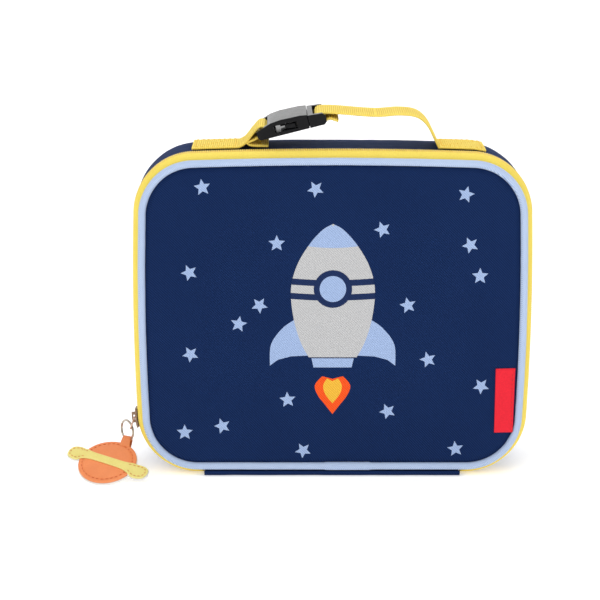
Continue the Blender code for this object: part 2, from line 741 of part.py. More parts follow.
def prong(mats, side, name, split):
    """Spring prong: a slim arm ending in the button pressed through the side window."""
    half_w = BUCKLE_WIDTH / 2
    root = split - GAP
    arm_in = half_w - 5.2 * MM
    arm_out = half_w - 3.4 * MM
    button_in = half_w - 5.2 * MM
    button_out = half_w - 0.6 * MM
    pts = [
        (root, arm_in), (root, arm_out), (root - 6.6 * MM - 0.9 * MM, arm_out),
        (root - 6.6 * MM - 0.9 * MM, button_out), (root - 10.5 * MM, button_out),
        (root - 13.5 * MM, button_out - 1.6 * MM), (root - 13.9 * MM, button_in),
    ]
    bm = bmesh.new()
    lo = [bm.verts.new((u, side * w, -PRONG_THICK / 2)) for u, w in pts]
    hi = [bm.verts.new((u, side * w, PRONG_THICK / 2)) for u, w in pts]
    bm.faces.new(lo)
    bm.faces.new(list(reversed(hi)))
    count = len(pts)
    for i in range(count):
        k = (i + 1) % count
        bm.faces.new((lo[i], hi[i], hi[k], lo[k]))
    obj = add_object(name, bm, mats["buckle"])
    place_buckle_piece(obj, mats["buckle"])


# ---- slider, pull, ring and charm -------------------------------------------------------
CORNER_CX = -CORNER_X
CORNER_CZ = CORNER_RADIUS


def on_corner(angle, offset):
    """Point on the lower left corner, angle below level, offset outward from the outline."""
    r = CORNER_RADIUS + offset
    return CORNER_CX - r * math.cos(angle), CORNER_CZ - r * math.sin(angle)


def arc_plate(bm, a0, a1, y0, y1, d0, d1, steps=6):
    rings = []
    for i in range(steps + 1):
        a = a0 + (a1 - a0) * i / steps
        ring = []
        for y, d in box_section(y0, y1, d0, d1):
            x, z = on_corner(a, d)
            ring.append(bm.verts.new((x, y, z)))
        rings.append(ring)
    for p, q in zip(rings, rings[1:]):
        for j in range(4):
            k = (j + 1) % 4
            bm.faces.new((p[j], p[k], q[k], q[j]))
    bm.faces.new(rings[0])
    bm.faces.new(list(reversed(rings[-1])))


def slider_body(mats):
    a0 = SLIDER_ANGLE - SLIDER_SPAN / 2
    a1 = SLIDER_ANGLE + SLIDER_SPAN / 2
    y0 = CHAIN_Y - SLIDER_WIDTH / 2
    y1 = CHAIN_Y + SLIDER_WIDTH / 2
    neck = COIL_GAP / 2 - GAP
    inner = (-COIL_HEIGHT - GAP - PLATE, -COIL_HEIGHT - GAP)
    outer = (GAP, GAP + PLATE)
    body = tool("slider_body", lambda bm: arc_plate(bm, a0, a1, y0, y1, *outer))
    combine(body, tool("inner", lambda bm: arc_plate(bm, a0, a1, y0, y1, *inner)), "UNION")
    combine(body, tool("neck", lambda bm: arc_plate(
        bm, a0 + 0.02, a0 + 0.09, CHAIN_Y - neck, CHAIN_Y + neck, inner[1] - 0.3 * MM,
        outer[0] + 0.3 * MM)), "UNION")
    top = outer[1]
    post = 0.022
    span = 0.062
    for side in (-1, 1):
        a = SLIDER_ANGLE + side * span
        combine(body, tool("post", lambda bm, a=a: arc_plate(
            bm, a - post, a + post, CHAIN_Y - BRIDGE_WIRE / 2, CHAIN_Y + BRIDGE_WIRE / 2,
            top - 0.3 * MM, top + BRIDGE_HOLE + BRIDGE_WIRE * 0.6, steps=2)), "UNION")
    combine(body, tool("bar", lambda bm: arc_plate(
        bm, SLIDER_ANGLE - span - post, SLIDER_ANGLE + span + post,
        CHAIN_Y - BRIDGE_WIRE / 2, CHAIN_Y + BRIDGE_WIRE / 2, top + BRIDGE_HOLE,
        top + BRIDGE_HOLE + BRIDGE_WIRE)), "UNION")
    finish_piece(body, mats["bronze"])
    set_origin(body, (CORNER_CX, CHAIN_Y, CORNER_CZ))


def finish_piece(obj, mat, smooth=False):
    bm = bmesh.new()
    bm.from_mesh(obj.data)
    bmesh.ops.remove_doubles(bm, verts=bm.verts, dist=1e-6)
    bmesh.ops.recalc_face_normals(bm, faces=bm.faces)
    bm.to_mesh(obj.data)
    bm.free()
    obj.data.materials.clear()
    obj.data.materials.append(mat)
    for poly in obj.data.polygons:
        poly.use_smooth = smooth
        poly.material_index = 0


PULL_D = GAP + PLATE + BRIDGE_HOLE / 2
PULL_PIN = Vector((on_corner(SLIDER_ANGLE, PULL_D)[0], CHAIN_Y, on_corner(SLIDER_ANGLE, PULL_D)[1]))
PULL_DIR = Vector((-math.cos(PULL_DROP), 0.0, -math.sin(PULL_DROP)))
RING_LAT = Vector((math.cos(RING_TURN), math.sin(RING_TURN), 0.0))
UP = Vector((0.0, 0.0, 1.0))
RING_HOLD = PULL_PIN + PULL_DIR * (PULL_LENGTH - PULL_WIRE / 2 - RING_WIRE / 2 - RING_PLAY)
RING_CENTRE = RING_HOLD - RING_RADIUS * (math.cos(RING_ANGLE) * RING_LAT
                                         + math.sin(RING_ANGLE) * UP)
TAB_PIN = RING_CENTRE - RING_RADIUS * UP
CHARM_X = Vector((math.cos(CHARM_TURN), math.sin(CHARM_TURN), 0.0))
CHARM_Y = Vector((-math.sin(CHARM_TURN) * math.cos(CHARM_LEAN),
                  math.cos(CHARM_TURN) * math.cos(CHARM_LEAN), math.sin(CHARM_LEAN)))
CHARM_Z = CHARM_X.cross(CHARM_Y)
CHARM_CENTRE = TAB_PIN - TAB_ACROSS * CHARM_X - TAB_UP * CHARM_Y


def tube_loop(name, mat, centre_line, radius, sides=8):
    """Closed round wire along a closed list of points."""
    bm = bmesh.new()
    count = len(centre_line)
    normal = Vector((0, 0, 0))
    for i in range(count):
        normal += centre_line[i].cross(centre_line[(i + 1) % count])
    normal.normalize()
    rings = []
    for i, p in enumerate(centre_line):
        t = (centre_line[(i + 1) % count] - centre_line[i - 1]).normalized()
        side = t.cross(normal).normalized()
        rings.append([bm.verts.new(p + radius * (math.cos(2 * math.pi * j / sides) * side
                                                 + math.sin(2 * math.pi * j / sides) * normal))
                      for j in range(sides)])
    for i in range(count):
        a, b = rings[i], rings[(i + 1) % count]
        for j in range(sides):
            k = (j + 1) % sides
            bm.faces.new((a[j], a[k], b[k], b[j]))
    return add_object(name, bm, mat, smooth=True)


def slider_pull(mats):
    """Oval wire bail: one end under the slider's bridge, the split ring in the other."""
    half_w = PULL_WIDTH / 2
    across = Vector((0.0, 1.0, 0.0))
    line = []
    steps = 8
    for end, base in ((PULL_LENGTH - half_w, 0.0), (half_w, math.pi)):
        for i in range(steps + 1):
            a = base - math.pi / 2 + math.pi * i / steps
            line.append(PULL_PIN + PULL_DIR * (end + half_w * math.cos(a)) + across * half_w * math.sin(a))
    obj = tube_loop("slider_pull", mats["rose"], line, PULL_WIRE / 2)
    set_origin(obj, PULL_PIN)


def split_ring(mats):
    line = []
    for i in range(32):
        a = 2 * math.pi * i / 32
        line.append(RING_CENTRE + RING_RADIUS * (math.cos(a) * RING_LAT + math.sin(a) * UP))
    obj = tube_loop("split_ring", mats["steel"], line, RING_WIRE / 2)
    set_origin(obj, RING_HOLD)


def charm_to_world():
    rot = Matrix((CHARM_X, CHARM_Y, CHARM_Z)).transposed().to_4x4()
    return Matrix.Translation(CHARM_CENTRE) @ rot


def flat_shape(bm, pts, z0, z1):
    lo = [bm.verts.new((x, y, z0)) for x, y in pts]
    hi = [bm.verts.new((x, y, z1)) for x, y in pts]
    bm.faces.new(list(reversed(lo)))
    bm.faces.new(hi)
    count = len(pts)
    for i in range(count):
        k = (i + 1) % count
        bm.faces.new((lo[i], lo[k], hi[k], hi[i]))


def disc_points(radius, count=40):
    return [(radius * math.cos(2 * math.pi * i / count), radius * math.sin(2 * math.pi * i / count))
            for i in range(count)]


def band_points(length, width, count=36):
    out = []
    for i in range(count):
        a = 2 * math.pi * i / count
        x, y = length / 2 * math.cos(a), width / 2 * math.sin(a)
        c, s = math.cos(BAND_TURN), math.sin(BAND_TURN)
        out.append((x * c - y * s, x * s + y * c))
    return out


def charm(mats):
    """Stitched leatherette planet: a backing with its hanging loop, a disc and a ring band."""
    half = CHARM_THICK / 2
    to_world = charm_to_world()
    back = tool("charm_backing", lambda bm: flat_shape(bm, disc_points(CHARM_RADIUS), -half, -GAP))
    combine(back, tool("tongue", lambda bm: flat_shape(
        bm, [(TAB_ACROSS - 3 * MM, CHARM_RADIUS * 0.7), (TAB_ACROSS + 3 * MM, CHARM_RADIUS * 0.7),
             (TAB_ACROSS + 3 * MM, TAB_UP - 1.3 * MM), (TAB_ACROSS - 3 * MM, TAB_UP - 1.3 * MM)],
        -half, -GAP)), "UNION")
    hole = RING_WIRE / 2 + 1.15 * MM
    turn = RING_TURN - CHARM_TURN
    axis = Vector((math.cos(turn), math.sin(turn), 0.0))
    combine(back, tool("loop", lambda bm: short_tube(bm, axis, hole + 1.0 * MM, 1.8 * MM)), "UNION")
    combine(back, tool("loop_hole", lambda bm: short_tube(bm, axis, hole, 5 * MM)), "DIFFERENCE")
    back.data.transform(to_world)
    finish_piece(back, mats["backing"])
    set_origin(back, TAB_PIN)

    front = tool("charm_planet", lambda bm: flat_shape(bm, disc_points(CHARM_RADIUS - 0.4 * MM), 0.0, half))
    combine(front, tool("notch", lambda bm: flat_shape(
        bm, [(TAB_ACROSS - 6 * MM, TAB_UP - 5.5 * MM), (TAB_ACROSS + 6 * MM, TAB_UP - 5.5 * MM),
             (TAB_ACROSS + 6 * MM, TAB_UP + 5 * MM), (TAB_ACROSS - 6 * MM, TAB_UP + 5 * MM)],
        -1 * MM, half + 1 * MM)), "DIFFERENCE")
    front.data.transform(to_world)
    finish_piece(front, mats["orange"])
    set_origin(front, TAB_PIN)

    band = tool("charm_band", lambda bm: flat_shape(
        bm, band_points(BAND_LENGTH, 10 * MM), half + GAP, half + GAP + 0.8 * MM))
    band.data.transform(to_world)
    finish_piece(band, mats["band"])
    set_origin(band, TAB_PIN)


def short_tube(bm, axis, radius, half_length, count=20):
    centre = Vector((TAB_ACROSS, TAB_UP, 0.0))
    side = Vector((-axis.y, axis.x, 0.0))
    up = Vector((0.0, 0.0, 1.0))
    lo = []
    hi = []
    for i in range(count):
        a = 2 * math.pi * i / count
        off = radius * (math.cos(a) * side + math.sin(a) * up)
        lo.append(bm.verts.new(centre - axis * half_length + off))
        hi.append(bm.verts.new(centre + axis * half_length + off))
    bm.faces.new(lo)
    bm.faces.new(list(reversed(hi)))
    for i in range(count):
        k = (i + 1) % count
        bm.faces.new((lo[i], hi[i], hi[k], lo[k]))


def build_materials():
    return {
        "navy": material("navy_fabric", (0.012, 0.031, 0.105), 0.85),
        "foam": material("insulation_foam", (0.80, 0.80, 0.78), 0.95),
        "lining": material("silver_lining", (0.62, 0.63, 0.65), 0.45),
        "piping": material("light_blue_piping", (0.42, 0.54, 0.78), 0.8),
        "tape": material("yellow_zip_tape", (0.86, 0.68, 0.13), 0.8),
        "coil": material("yellow_zip_coil", (0.88, 0.66, 0.10), 0.45),
        "webbing": material("yellow_webbing", (0.95, 0.66, 0.05), 0.75),
        "label": material("red_label", (0.72, 0.01, 0.02), 0.6),
        "buckle": material("black_acetal", (0.012, 0.012, 0.014), 0.25),
        "bronze": material("dark_bronze", (0.20, 0.13, 0.09), 0.35, 1.0),
        "rose": material("rose_gold_wire", (0.62, 0.38, 0.27), 0.28, 1.0),
        "steel": material("nickel_wire", (0.60, 0.58, 0.55), 0.25, 1.0),
        "orange": material("orange_leatherette", (0.90, 0.30, 0.09), 0.55),
        "band": material("yellow_leatherette", (0.85, 0.74, 0.22), 0.5),
        "backing": material("white_backing", (0.85, 0.83, 0.80), 0.7),
    }


def main():
    clear_scene()
    mats = build_materials()
    build_body(mats)
    build_lid(mats)
    build_handle(mats)
    slider_body(mats)
    slider_pull(mats)
    split_ring(mats)
    charm(mats)


main()
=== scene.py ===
"""Looks of the kids' insulated lunch bag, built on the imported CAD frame."""
import json
import math
import bmesh
import bpy
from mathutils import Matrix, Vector, noise


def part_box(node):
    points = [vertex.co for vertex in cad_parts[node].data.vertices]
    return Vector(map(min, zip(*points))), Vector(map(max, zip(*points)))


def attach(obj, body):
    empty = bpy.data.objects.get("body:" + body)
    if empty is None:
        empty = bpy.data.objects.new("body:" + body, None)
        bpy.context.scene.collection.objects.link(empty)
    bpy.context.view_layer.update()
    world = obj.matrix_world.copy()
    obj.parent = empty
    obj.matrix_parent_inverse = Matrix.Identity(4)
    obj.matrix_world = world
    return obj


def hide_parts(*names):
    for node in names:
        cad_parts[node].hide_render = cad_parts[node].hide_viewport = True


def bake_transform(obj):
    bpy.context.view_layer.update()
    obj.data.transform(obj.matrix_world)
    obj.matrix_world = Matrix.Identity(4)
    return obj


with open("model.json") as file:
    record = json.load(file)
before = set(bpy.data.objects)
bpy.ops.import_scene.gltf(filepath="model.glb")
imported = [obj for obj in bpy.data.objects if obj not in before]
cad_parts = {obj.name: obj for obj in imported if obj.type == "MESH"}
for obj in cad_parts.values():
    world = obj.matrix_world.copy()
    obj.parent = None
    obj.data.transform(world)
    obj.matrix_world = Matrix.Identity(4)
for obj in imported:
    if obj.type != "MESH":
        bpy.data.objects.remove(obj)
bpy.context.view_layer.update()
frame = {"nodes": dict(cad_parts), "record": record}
NODES = frame["nodes"]
JOINTS = {j["name"]: j for j in frame["record"]["behaviour"]["joints"]}
MM = 0.001

# ---- sizes, read from the frame or shared with the part ------------------------------
CORNER_RADIUS = 36 * MM
SIDE_BOW = 1.2 * MM
TOP_BOW = 1.4 * MM
BASE_HALF = 75 * MM
GAP = 0.3 * MM
PIPE_R = (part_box("piping_front")[1][1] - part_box("piping_front")[0][1]) / 2
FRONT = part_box("piping_front")[0][1]
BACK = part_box("piping_back")[1][1]
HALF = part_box("zip_coil_lid")[1][0] - SIDE_BOW
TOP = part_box("zip_coil_lid")[1][2] - TOP_BOW
PIPE_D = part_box("piping_front")[1][0] - PIPE_R - HALF - SIDE_BOW
PANEL_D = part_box("front_panel")[1][0] - HALF - SIDE_BOW
PANEL_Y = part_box("front_panel")[0][1]
COIL_Y = (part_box("zip_coil_lid")[0][1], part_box("zip_coil_lid")[1][1])
BODY_COIL_Y = (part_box("zip_coil_body")[0][1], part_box("zip_coil_body")[1][1])
WALL_Y = (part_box("gusset_outer")[0][1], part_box("gusset_outer")[1][1])
CORNER_X = HALF - CORNER_RADIUS
MID_Z = TOP / 2

STRAP_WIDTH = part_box("strap_right")[1][1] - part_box("strap_right")[0][1]
STRAP_THICK = 1.6 * MM
STRAP_Y = (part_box("strap_right")[1][1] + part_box("strap_right")[0][1]) / 2
STRAP_TILT = 0.08


# ---- mesh helpers ---------------------------------------------------------------------
def link(name, data):
    obj = bpy.data.objects.new(name, data)
    bpy.context.scene.collection.objects.link(obj)
    return obj


def finish_mesh(mesh, mat):
    """Give a mesh its finish and smooth shading, and link it."""
    mesh.materials.append(mat)
    for poly in mesh.polygons:
        poly.use_smooth = True
    return link(mesh.name, mesh)


def make_object(name, verts, faces, mat):
    mesh = bpy.data.meshes.new(name)
    mesh.from_pydata([tuple(v) for v in verts], [], faces)
    mesh.validate()
    bm = bmesh.new()
    bm.from_mesh(mesh)
    bmesh.ops.recalc_face_normals(bm, faces=bm.faces)
    bm.to_mesh(mesh)
    bm.free()
    return finish_mesh(mesh, mat)


def skin(name, rings, mat, around=False, closed_section=True, caps=True):
    """Join equal rings of points; around joins the last ring to the first."""
    count, m = len(rings), len(rings[0])
    verts = [p for ring in rings for p in ring]
    faces = []
    for i in range(count if around else count - 1):
        a, b = i * m, ((i + 1) % count) * m
        for j in range(m if closed_section else m - 1):
            k = (j + 1) % m
            faces.append((a + j, a + k, b + k, b + j))
    if not around and closed_section and caps:
        faces.append(tuple(range(m)))
        faces.append(tuple(range((count - 1) * m, count * m))[::-1])
    return make_object(name, verts, faces, mat)


def outline(spacing, closed=True):
    """Points round the bag as (x, z, nx, nz, distance), anticlockwise from the base."""
    r = CORNER_RADIUS
    start = 0.0 if closed else BASE_HALF + GAP
    sides = [((HALF, r), (HALF, TOP - r), (1, 0), SIDE_BOW),
             ((CORNER_X, TOP), (-CORNER_X, TOP), (0, 1), TOP_BOW),
             ((-HALF, TOP - r), (-HALF, r), (-1, 0), SIDE_BOW),
             ((-CORNER_X, 0), (-start, 0), (0, -1), 0.0)]
    turns = [(CORNER_X, r, -90), (CORNER_X, TOP - r, 0), (-CORNER_X, TOP - r, 90),
             (-CORNER_X, r, 180)]
    out = []

    def straight(a, b, n, bow):
        length = math.hypot(b[0] - a[0], b[1] - a[1])
        steps = max(2, int(length / spacing))
        for i in range(steps):
            t = i / steps
            h = bow * (1 - (2 * t - 1) ** 2)
            out.append((a[0] + (b[0] - a[0]) * t + n[0] * h, a[1] + (b[1] - a[1]) * t + n[1] * h,
                        *n))

    straight((start, 0), (CORNER_X, 0), (0, -1), 0)
    for (cx, cz, begin), side in zip(turns, sides):
        steps = max(6, int(r * math.pi / 2 / spacing))
        for i in range(steps):
            a = math.radians(begin + 90 * i / steps)
            out.append((cx + r * math.cos(a), cz + r * math.sin(a), math.cos(a), math.sin(a)))
        straight(*side)
    if not closed:
        out.append((-start, 0.0, 0.0, -1.0))
    full = []
    run = 0.0
    for i, p in enumerate(out):
        if i:
            run += math.hypot(p[0] - out[i - 1][0], p[1] - out[i - 1][1])
        full.append((*p, run))
    return full


def circle(count):
    """Cosine and sine of even turns round a circle."""
    turns = [2 * math.pi * i / count for i in range(count)]
    return [(math.cos(a), math.sin(a)) for a in turns]


def near(a, b, steps):
    """Points at steps in millimetres from a place."""
    return [(a + p * MM, b + q * MM) for p, q in steps]


def ring_points(p, section):
    x, z, nx, nz = p[:4]
    return [Vector((x + nx * d, y, z + nz * d)) for y, d in section]


def wobble(x, y, z, scale, seed=0.0):
    return noise.noise(Vector((x / scale + seed, y / scale - seed, z / scale + 0.5 * seed)))


def spline(points, steps):
    """Catmull-Rom curve through 2-D or 3-D points."""
    pts = [points[0]] + list(points) + [points[-1]]
    out = []
    for i in range(1, len(pts) - 2):
        p0, p1, p2, p3 = pts[i - 1:i + 3]
        for s in range(steps):
            t = s / steps
            out.append(tuple(
                0.5 * (2 * b + (c - a) * t + (2 * a - 5 * b + 4 * c - d) * t * t
                       + (3 * b - a - 3 * c + d) * t ** 3)
                for a, b, c, d in zip(p0, p1, p2, p3)))
    out.append(tuple(points[-1]))
    return out


def resample(points, step, dims=3):
    """Even steps along a polyline, measured over its first few coordinates."""
    dist = [0.0]
    for a, b in zip(points, points[1:]):
        dist.append(dist[-1] + math.dist(a[:dims], b[:dims]))
    count = max(2, int(dist[-1] / step))
    out = []
    seg = 0
    for i in range(count + 1):
        s = dist[-1] * i / count
        while seg < len(dist) - 2 and dist[seg + 1] < s:
            seg += 1
        t = (s - dist[seg]) / max(dist[seg + 1] - dist[seg], 1e-12)
        out.append(tuple(a + (b - a) * t for a, b in zip(points[seg], points[seg + 1])))
    return out


def stitches(name, path, normal_at, length, gap, radius, mat):
    """Running stitches: short rounded threads set along a path."""
    points = resample(path, (length + gap) / 6)
    verts, faces = [], []
    per = 6
    i = 0
    while i + 4 < len(points):
        base = len(verts)
        run = [Vector(points[k]) for k in range(i, i + 5)]
        for n, p in enumerate(run):
            t = (run[min(n + 1, 4)] - run[max(n - 1, 0)]).normalized()
            up = normal_at(p)
            side = t.cross(up).normalized()
            full = radius * (0.35, 0.9, 1.0, 0.9, 0.35)[n]
            rise = radius * (-0.5, 0.35, 0.6, 0.35, -0.5)[n]
            verts += [p + up * (rise + full * s) + side * full * c for c, s in circle(per)]
        for n in range(4):
            for j in range(per):
                k = (j + 1) % per
                faces.append((base + n * per + j, base + n * per + k,
                              base + (n + 1) * per + k, base + (n + 1) * per + j))
        faces.append(tuple(range(base, base + per)))
        faces.append(tuple(range(base + 4 * per, base + 5 * per))[::-1])
        i += 6
    return make_object(name, verts, faces, mat)


# ---- materials ------------------------------------------------------------------------
class Shader:
    """Small builder for node materials; coordinates are in millimetres."""

    def __init__(self, name, rough=0.5, metal=0.0):
        self.mat = bpy.data.materials.new(name)
        self.mat.use_nodes = True
        self.nodes = self.mat.node_tree.nodes
        self.links = self.mat.node_tree.links
        self.bsdf = self.nodes["Principled BSDF"]
        self.bsdf.inputs["Roughness"].default_value = rough
        self.bsdf.inputs["Metallic"].default_value = metal
        coord = self.nodes.new("ShaderNodeTexCoord")
        self.mm = self.mapped(coord.outputs["Object"], (1000, 1000, 1000))

    def mapped(self, source, scale, turn=(0, 0, 0)):
        node = self.nodes.new("ShaderNodeMapping")
        node.inputs["Scale"].default_value = scale
        node.inputs["Rotation"].default_value = turn
        self.links.new(source, node.inputs["Vector"])
        return node.outputs["Vector"]

    def noise(self, scale, detail=2.0, rough=0.5, vector=None):
        node = self.nodes.new("ShaderNodeTexNoise")
        node.inputs["Scale"].default_value = scale
        node.inputs["Detail"].default_value = detail
        node.inputs["Roughness"].default_value = rough
        self.links.new(vector or self.mm, node.inputs["Vector"])
        return node.outputs["Fac"]

    def wave(self, period, direction="X", distort=0.0, vector=None):
        node = self.nodes.new("ShaderNodeTexWave")
        node.bands_direction = direction
        node.inputs["Scale"].default_value = 0.314159 / period
        node.inputs["Distortion"].default_value = distort
        node.inputs["Detail"].default_value = 1.0
        self.links.new(vector or self.mm, node.inputs["Vector"])
        return node.outputs["Fac"]

    def calc(self, kind, a, b=0.0):
        node = self.nodes.new("ShaderNodeMath")
        node.operation = kind
        for socket, value in zip(node.inputs, (a, b)):
            if isinstance(value, (int, float)):
                socket.default_value = value
            else:
                self.links.new(value, socket)
        return node.outputs[0]

    def weigh(self, a, share_a, b, share_b):
        """Sum of two values, each times its own share."""
        return self.calc("ADD", self.calc("MULTIPLY", a, share_a),
                         self.calc("MULTIPLY", b, share_b))

    def remap(self, value, low, high, out_low=0.0, out_high=1.0):
        node = self.nodes.new("ShaderNodeMapRange")
        self.links.new(value, node.inputs["Value"])
        for socket, number in zip(("From Min", "From Max", "To Min", "To Max"),
                                  (low, high, out_low, out_high)):
            node.inputs[socket].default_value = number
        return node.outputs["Result"]

    def mix(self, factor, one, two):
        node = self.nodes.new("ShaderNodeMix")
        node.data_type = "RGBA"
        self.links.new(factor, node.inputs["Factor"])
        for socket, value in ((node.inputs[6], one), (node.inputs[7], two)):
            if isinstance(value, tuple):
                socket.default_value = (*value, 1.0)
            else:
                self.links.new(value, socket)
        return node.outputs[2]

    def colour(self, value):
        if isinstance(value, tuple):
            self.bsdf.inputs["Base Color"].default_value = (*value, 1.0)
        else:
            self.links.new(value, self.bsdf.inputs["Base Color"])
        return self

    def roughness(self, value):
        self.links.new(value, self.bsdf.inputs["Roughness"])
        return self

    def matt(self, level):
        self.bsdf.inputs["Specular IOR Level"].default_value = level
        return self

    def bump(self, height, depth, strength=1.0):
        node = self.nodes.new("ShaderNodeBump")
        node.inputs["Strength"].default_value = strength
        node.inputs["Distance"].default_value = depth
        self.links.new(height, node.inputs["Height"])
        self.links.new(node.outputs["Normal"], self.bsdf.inputs["Normal"])
        return self

    def sheen(self, weight, tint, rough=0.4):
        self.bsdf.inputs["Sheen Weight"].default_value = weight
        self.bsdf.inputs["Sheen Tint"].default_value = (*tint, 1.0)
        self.bsdf.inputs["Sheen Roughness"].default_value = rough
        return self


def edge_wear_and_highlight(s, colour, wear_and_highlight, amount=0.6):
    """Lighter colour where the surface is most convex: partly rubbed wear, partly a painted
    highlight along the edges.
    """
    geo = s.nodes.new("ShaderNodeNewGeometry")
    edge = s.remap(geo.outputs["Pointiness"], 0.52, 0.60, 0.0, amount)
    return s.mix(edge, colour, wear_and_highlight)


def valleys(s, colour, dark, amount):
    """Painted shade: darker colour down in the grooves between ribs or teeth."""
    geo = s.nodes.new("ShaderNodeNewGeometry")
    return s.mix(s.remap(geo.outputs["Pointiness"], 0.42, 0.53, amount, 0.0), colour, dark)


def canvas(name, colour, dark, light, yarn=0.75, sheen=0.25, tint=(0.5, 0.6, 1.0)):
    """Plain-woven polyester with slubs: yarns along both directions, broken by noise."""
    s = Shader(name, 0.88)
    across = s.noise(1.0, 2.0, 0.6, s.mapped(s.mm, (0.16, 1.1, 1.6)))
    along = s.noise(1.0, 2.0, 0.6, s.mapped(s.mm, (1.6, 1.1, 0.16)))
    twill = s.wave(yarn, "DIAGONAL", 0.8)
    fine = s.noise(1.6, 2.0, 0.7)
    mottled = s.noise(0.02, 3.0, 0.6)
    weave = s.weigh(s.weigh(across, 0.5, along, 0.5), 0.62, fine, 0.38)
    weave = s.weigh(weave, 0.50, twill, 0.50)
    tone = s.mix(s.remap(weave, 0.38, 0.62), dark, light)
    base = s.mix(s.remap(weave, 0.42, 0.58, 0.15, 0.85), tone, colour)
    s.colour(s.mix(s.remap(mottled, 0.35, 0.65, 0.0, 0.16), base, dark))
    s.roughness(s.remap(fine, 0.3, 0.7, 0.78, 0.95))
    s.bump(weave, 0.16 * MM, 0.55)
    return s.matt(0.12).sheen(sheen, tint).mat


def tape_cloth(name, colour, dark):
    """Tightly woven narrow tape."""
    s = Shader(name, 0.72)
    fine = s.noise(2.2, 2.0, 0.6)
    grain = s.noise(1.0, 2.0, 0.5, s.mapped(s.mm, (1.4, 0.25, 1.4)))
    mottled = s.noise(0.05, 2.0)
    weave = s.weigh(fine, 0.5, grain, 0.5)
    tone = s.mix(s.remap(weave, 0.35, 0.65, 0.0, 0.45), colour, dark)
    s.colour(s.mix(s.remap(mottled, 0.4, 0.7, 0.0, 0.2), tone, dark))
    s.bump(weave, 0.10 * MM, 0.5)
    return s.matt(0.25).sheen(0.06, (1.0, 0.93, 0.6)).mat


def webbing_cloth(name, colour, dark):
    s = Shader(name, 0.8)
    fibre = s.noise(1.0, 3.0, 0.6, s.mapped(s.mm, (2.6, 0.5, 2.6)))
    patch = s.noise(0.08, 2.0)
    tone = s.mix(s.remap(fibre, 0.35, 0.65, 0.0, 0.5), colour, dark)
    tone = s.mix(s.remap(patch, 0.4, 0.7, 0.0, 0.15), tone, dark)
    # Painted shade: the grooves between the ribs are darkened in the colour.
    s.colour(valleys(s, tone, tuple(0.55 * c for c in dark), 0.85))
    s.bump(fibre, 0.12 * MM, 0.6)
    return s.matt(0.2).sheen(0.08, (1.0, 0.9, 0.5)).mat


def thread(name, colour, dark):
    s = Shader(name, 0.55)
    twist = s.wave(0.5, "DIAGONAL", 0.5)
    s.colour(s.mix(s.remap(twist, 0.2, 0.8, 0.0, 0.5), colour, dark))
    s.bump(twist, 0.05 * MM, 0.5)
    return s.mat


def nylon(name, colour, dark):
    s = Shader(name, 0.38)
    vary = s.noise(0.3, 2.0)
    tone = s.mix(s.remap(vary, 0.3, 0.7, 0.0, 0.35), colour, dark)
    # Painted shade: the grooves between the coil's teeth are darkened in the colour.
    s.colour(valleys(s, tone, tuple(0.45 * c for c in dark), 0.9))
    s.bump(s.noise(4.0), 0.02 * MM, 0.3)
    s.bsdf.inputs["Subsurface Weight"].default_value = 0.05
    return s.mat


def moulded(name, colour, wear_and_highlight):
    """Glossy black acetal with a faint moulded grain, and edges lightened as rubbed wear and
    painted highlight.
    """
    s = Shader(name, 0.2)
    grain = s.noise(5.0, 2.0)
    smear = s.noise(0.25, 3.0, 0.6)
    # Edges lightened by pointiness: painted highlight along the bevels, partly rubbed wear.
    s.colour(edge_wear_and_highlight(s, s.mix(s.remap(smear, 0.3, 0.8, 0.0, 0.3), colour, wear_and_highlight), wear_and_highlight))
    s.roughness(s.remap(smear, 0.3, 0.7, 0.10, 0.20))
    s.bump(grain, 0.008 * MM, 0.15)
    return s.matt(0.12).mat


def metal(name, colour, dark, rough=0.28):
    s = Shader(name, rough, 1.0)
    tarnish = s.noise(0.7, 4.0, 0.6)
    brushed = s.noise(1.0, 2.0, 0.5, s.mapped(s.mm, (3.0, 0.6, 3.0)))
    tone = s.mix(s.remap(tarnish, 0.4, 0.7, 0.0, 0.6), colour, dark)
    # Edges lightened: rubbed-off tarnish, partly painted highlight.
    s.colour(edge_wear_and_highlight(s, tone, colour, 0.4))
    s.roughness(s.remap(brushed, 0.3, 0.7, rough * 0.7, rough * 1.4))
    s.bump(brushed, 0.02 * MM, 0.2)
    return s.mat


def leatherette(name, colour, dark, wear_and_highlight):
    """Coated leatherette: fine pebble grain, slightly darker in the valleys."""
    s = Shader(name, 0.45)
    cells = s.nodes.new("ShaderNodeTexVoronoi")
    cells.feature = "DISTANCE_TO_EDGE"
    cells.inputs["Scale"].default_value = 1.5
    s.links.new(s.mm, cells.inputs["Vector"])
    grain = s.remap(cells.outputs["Distance"], 0.0, 0.25)
    patch = s.noise(0.12, 3.0)
    tone = s.mix(s.remap(patch, 0.35, 0.7, 0.0, 0.3), colour, dark)
    # Rims lightened: partly rubbed wear, partly painted highlight.
    s.colour(edge_wear_and_highlight(s, s.mix(s.remap(grain, 0.0, 1.0, 0.25, 0.0), tone, dark), wear_and_highlight, 0.35))
    s.roughness(s.remap(grain, 0.0, 1.0, 0.6, 0.4))
    s.bump(grain, 0.05 * MM, 0.45)
    return s.mat


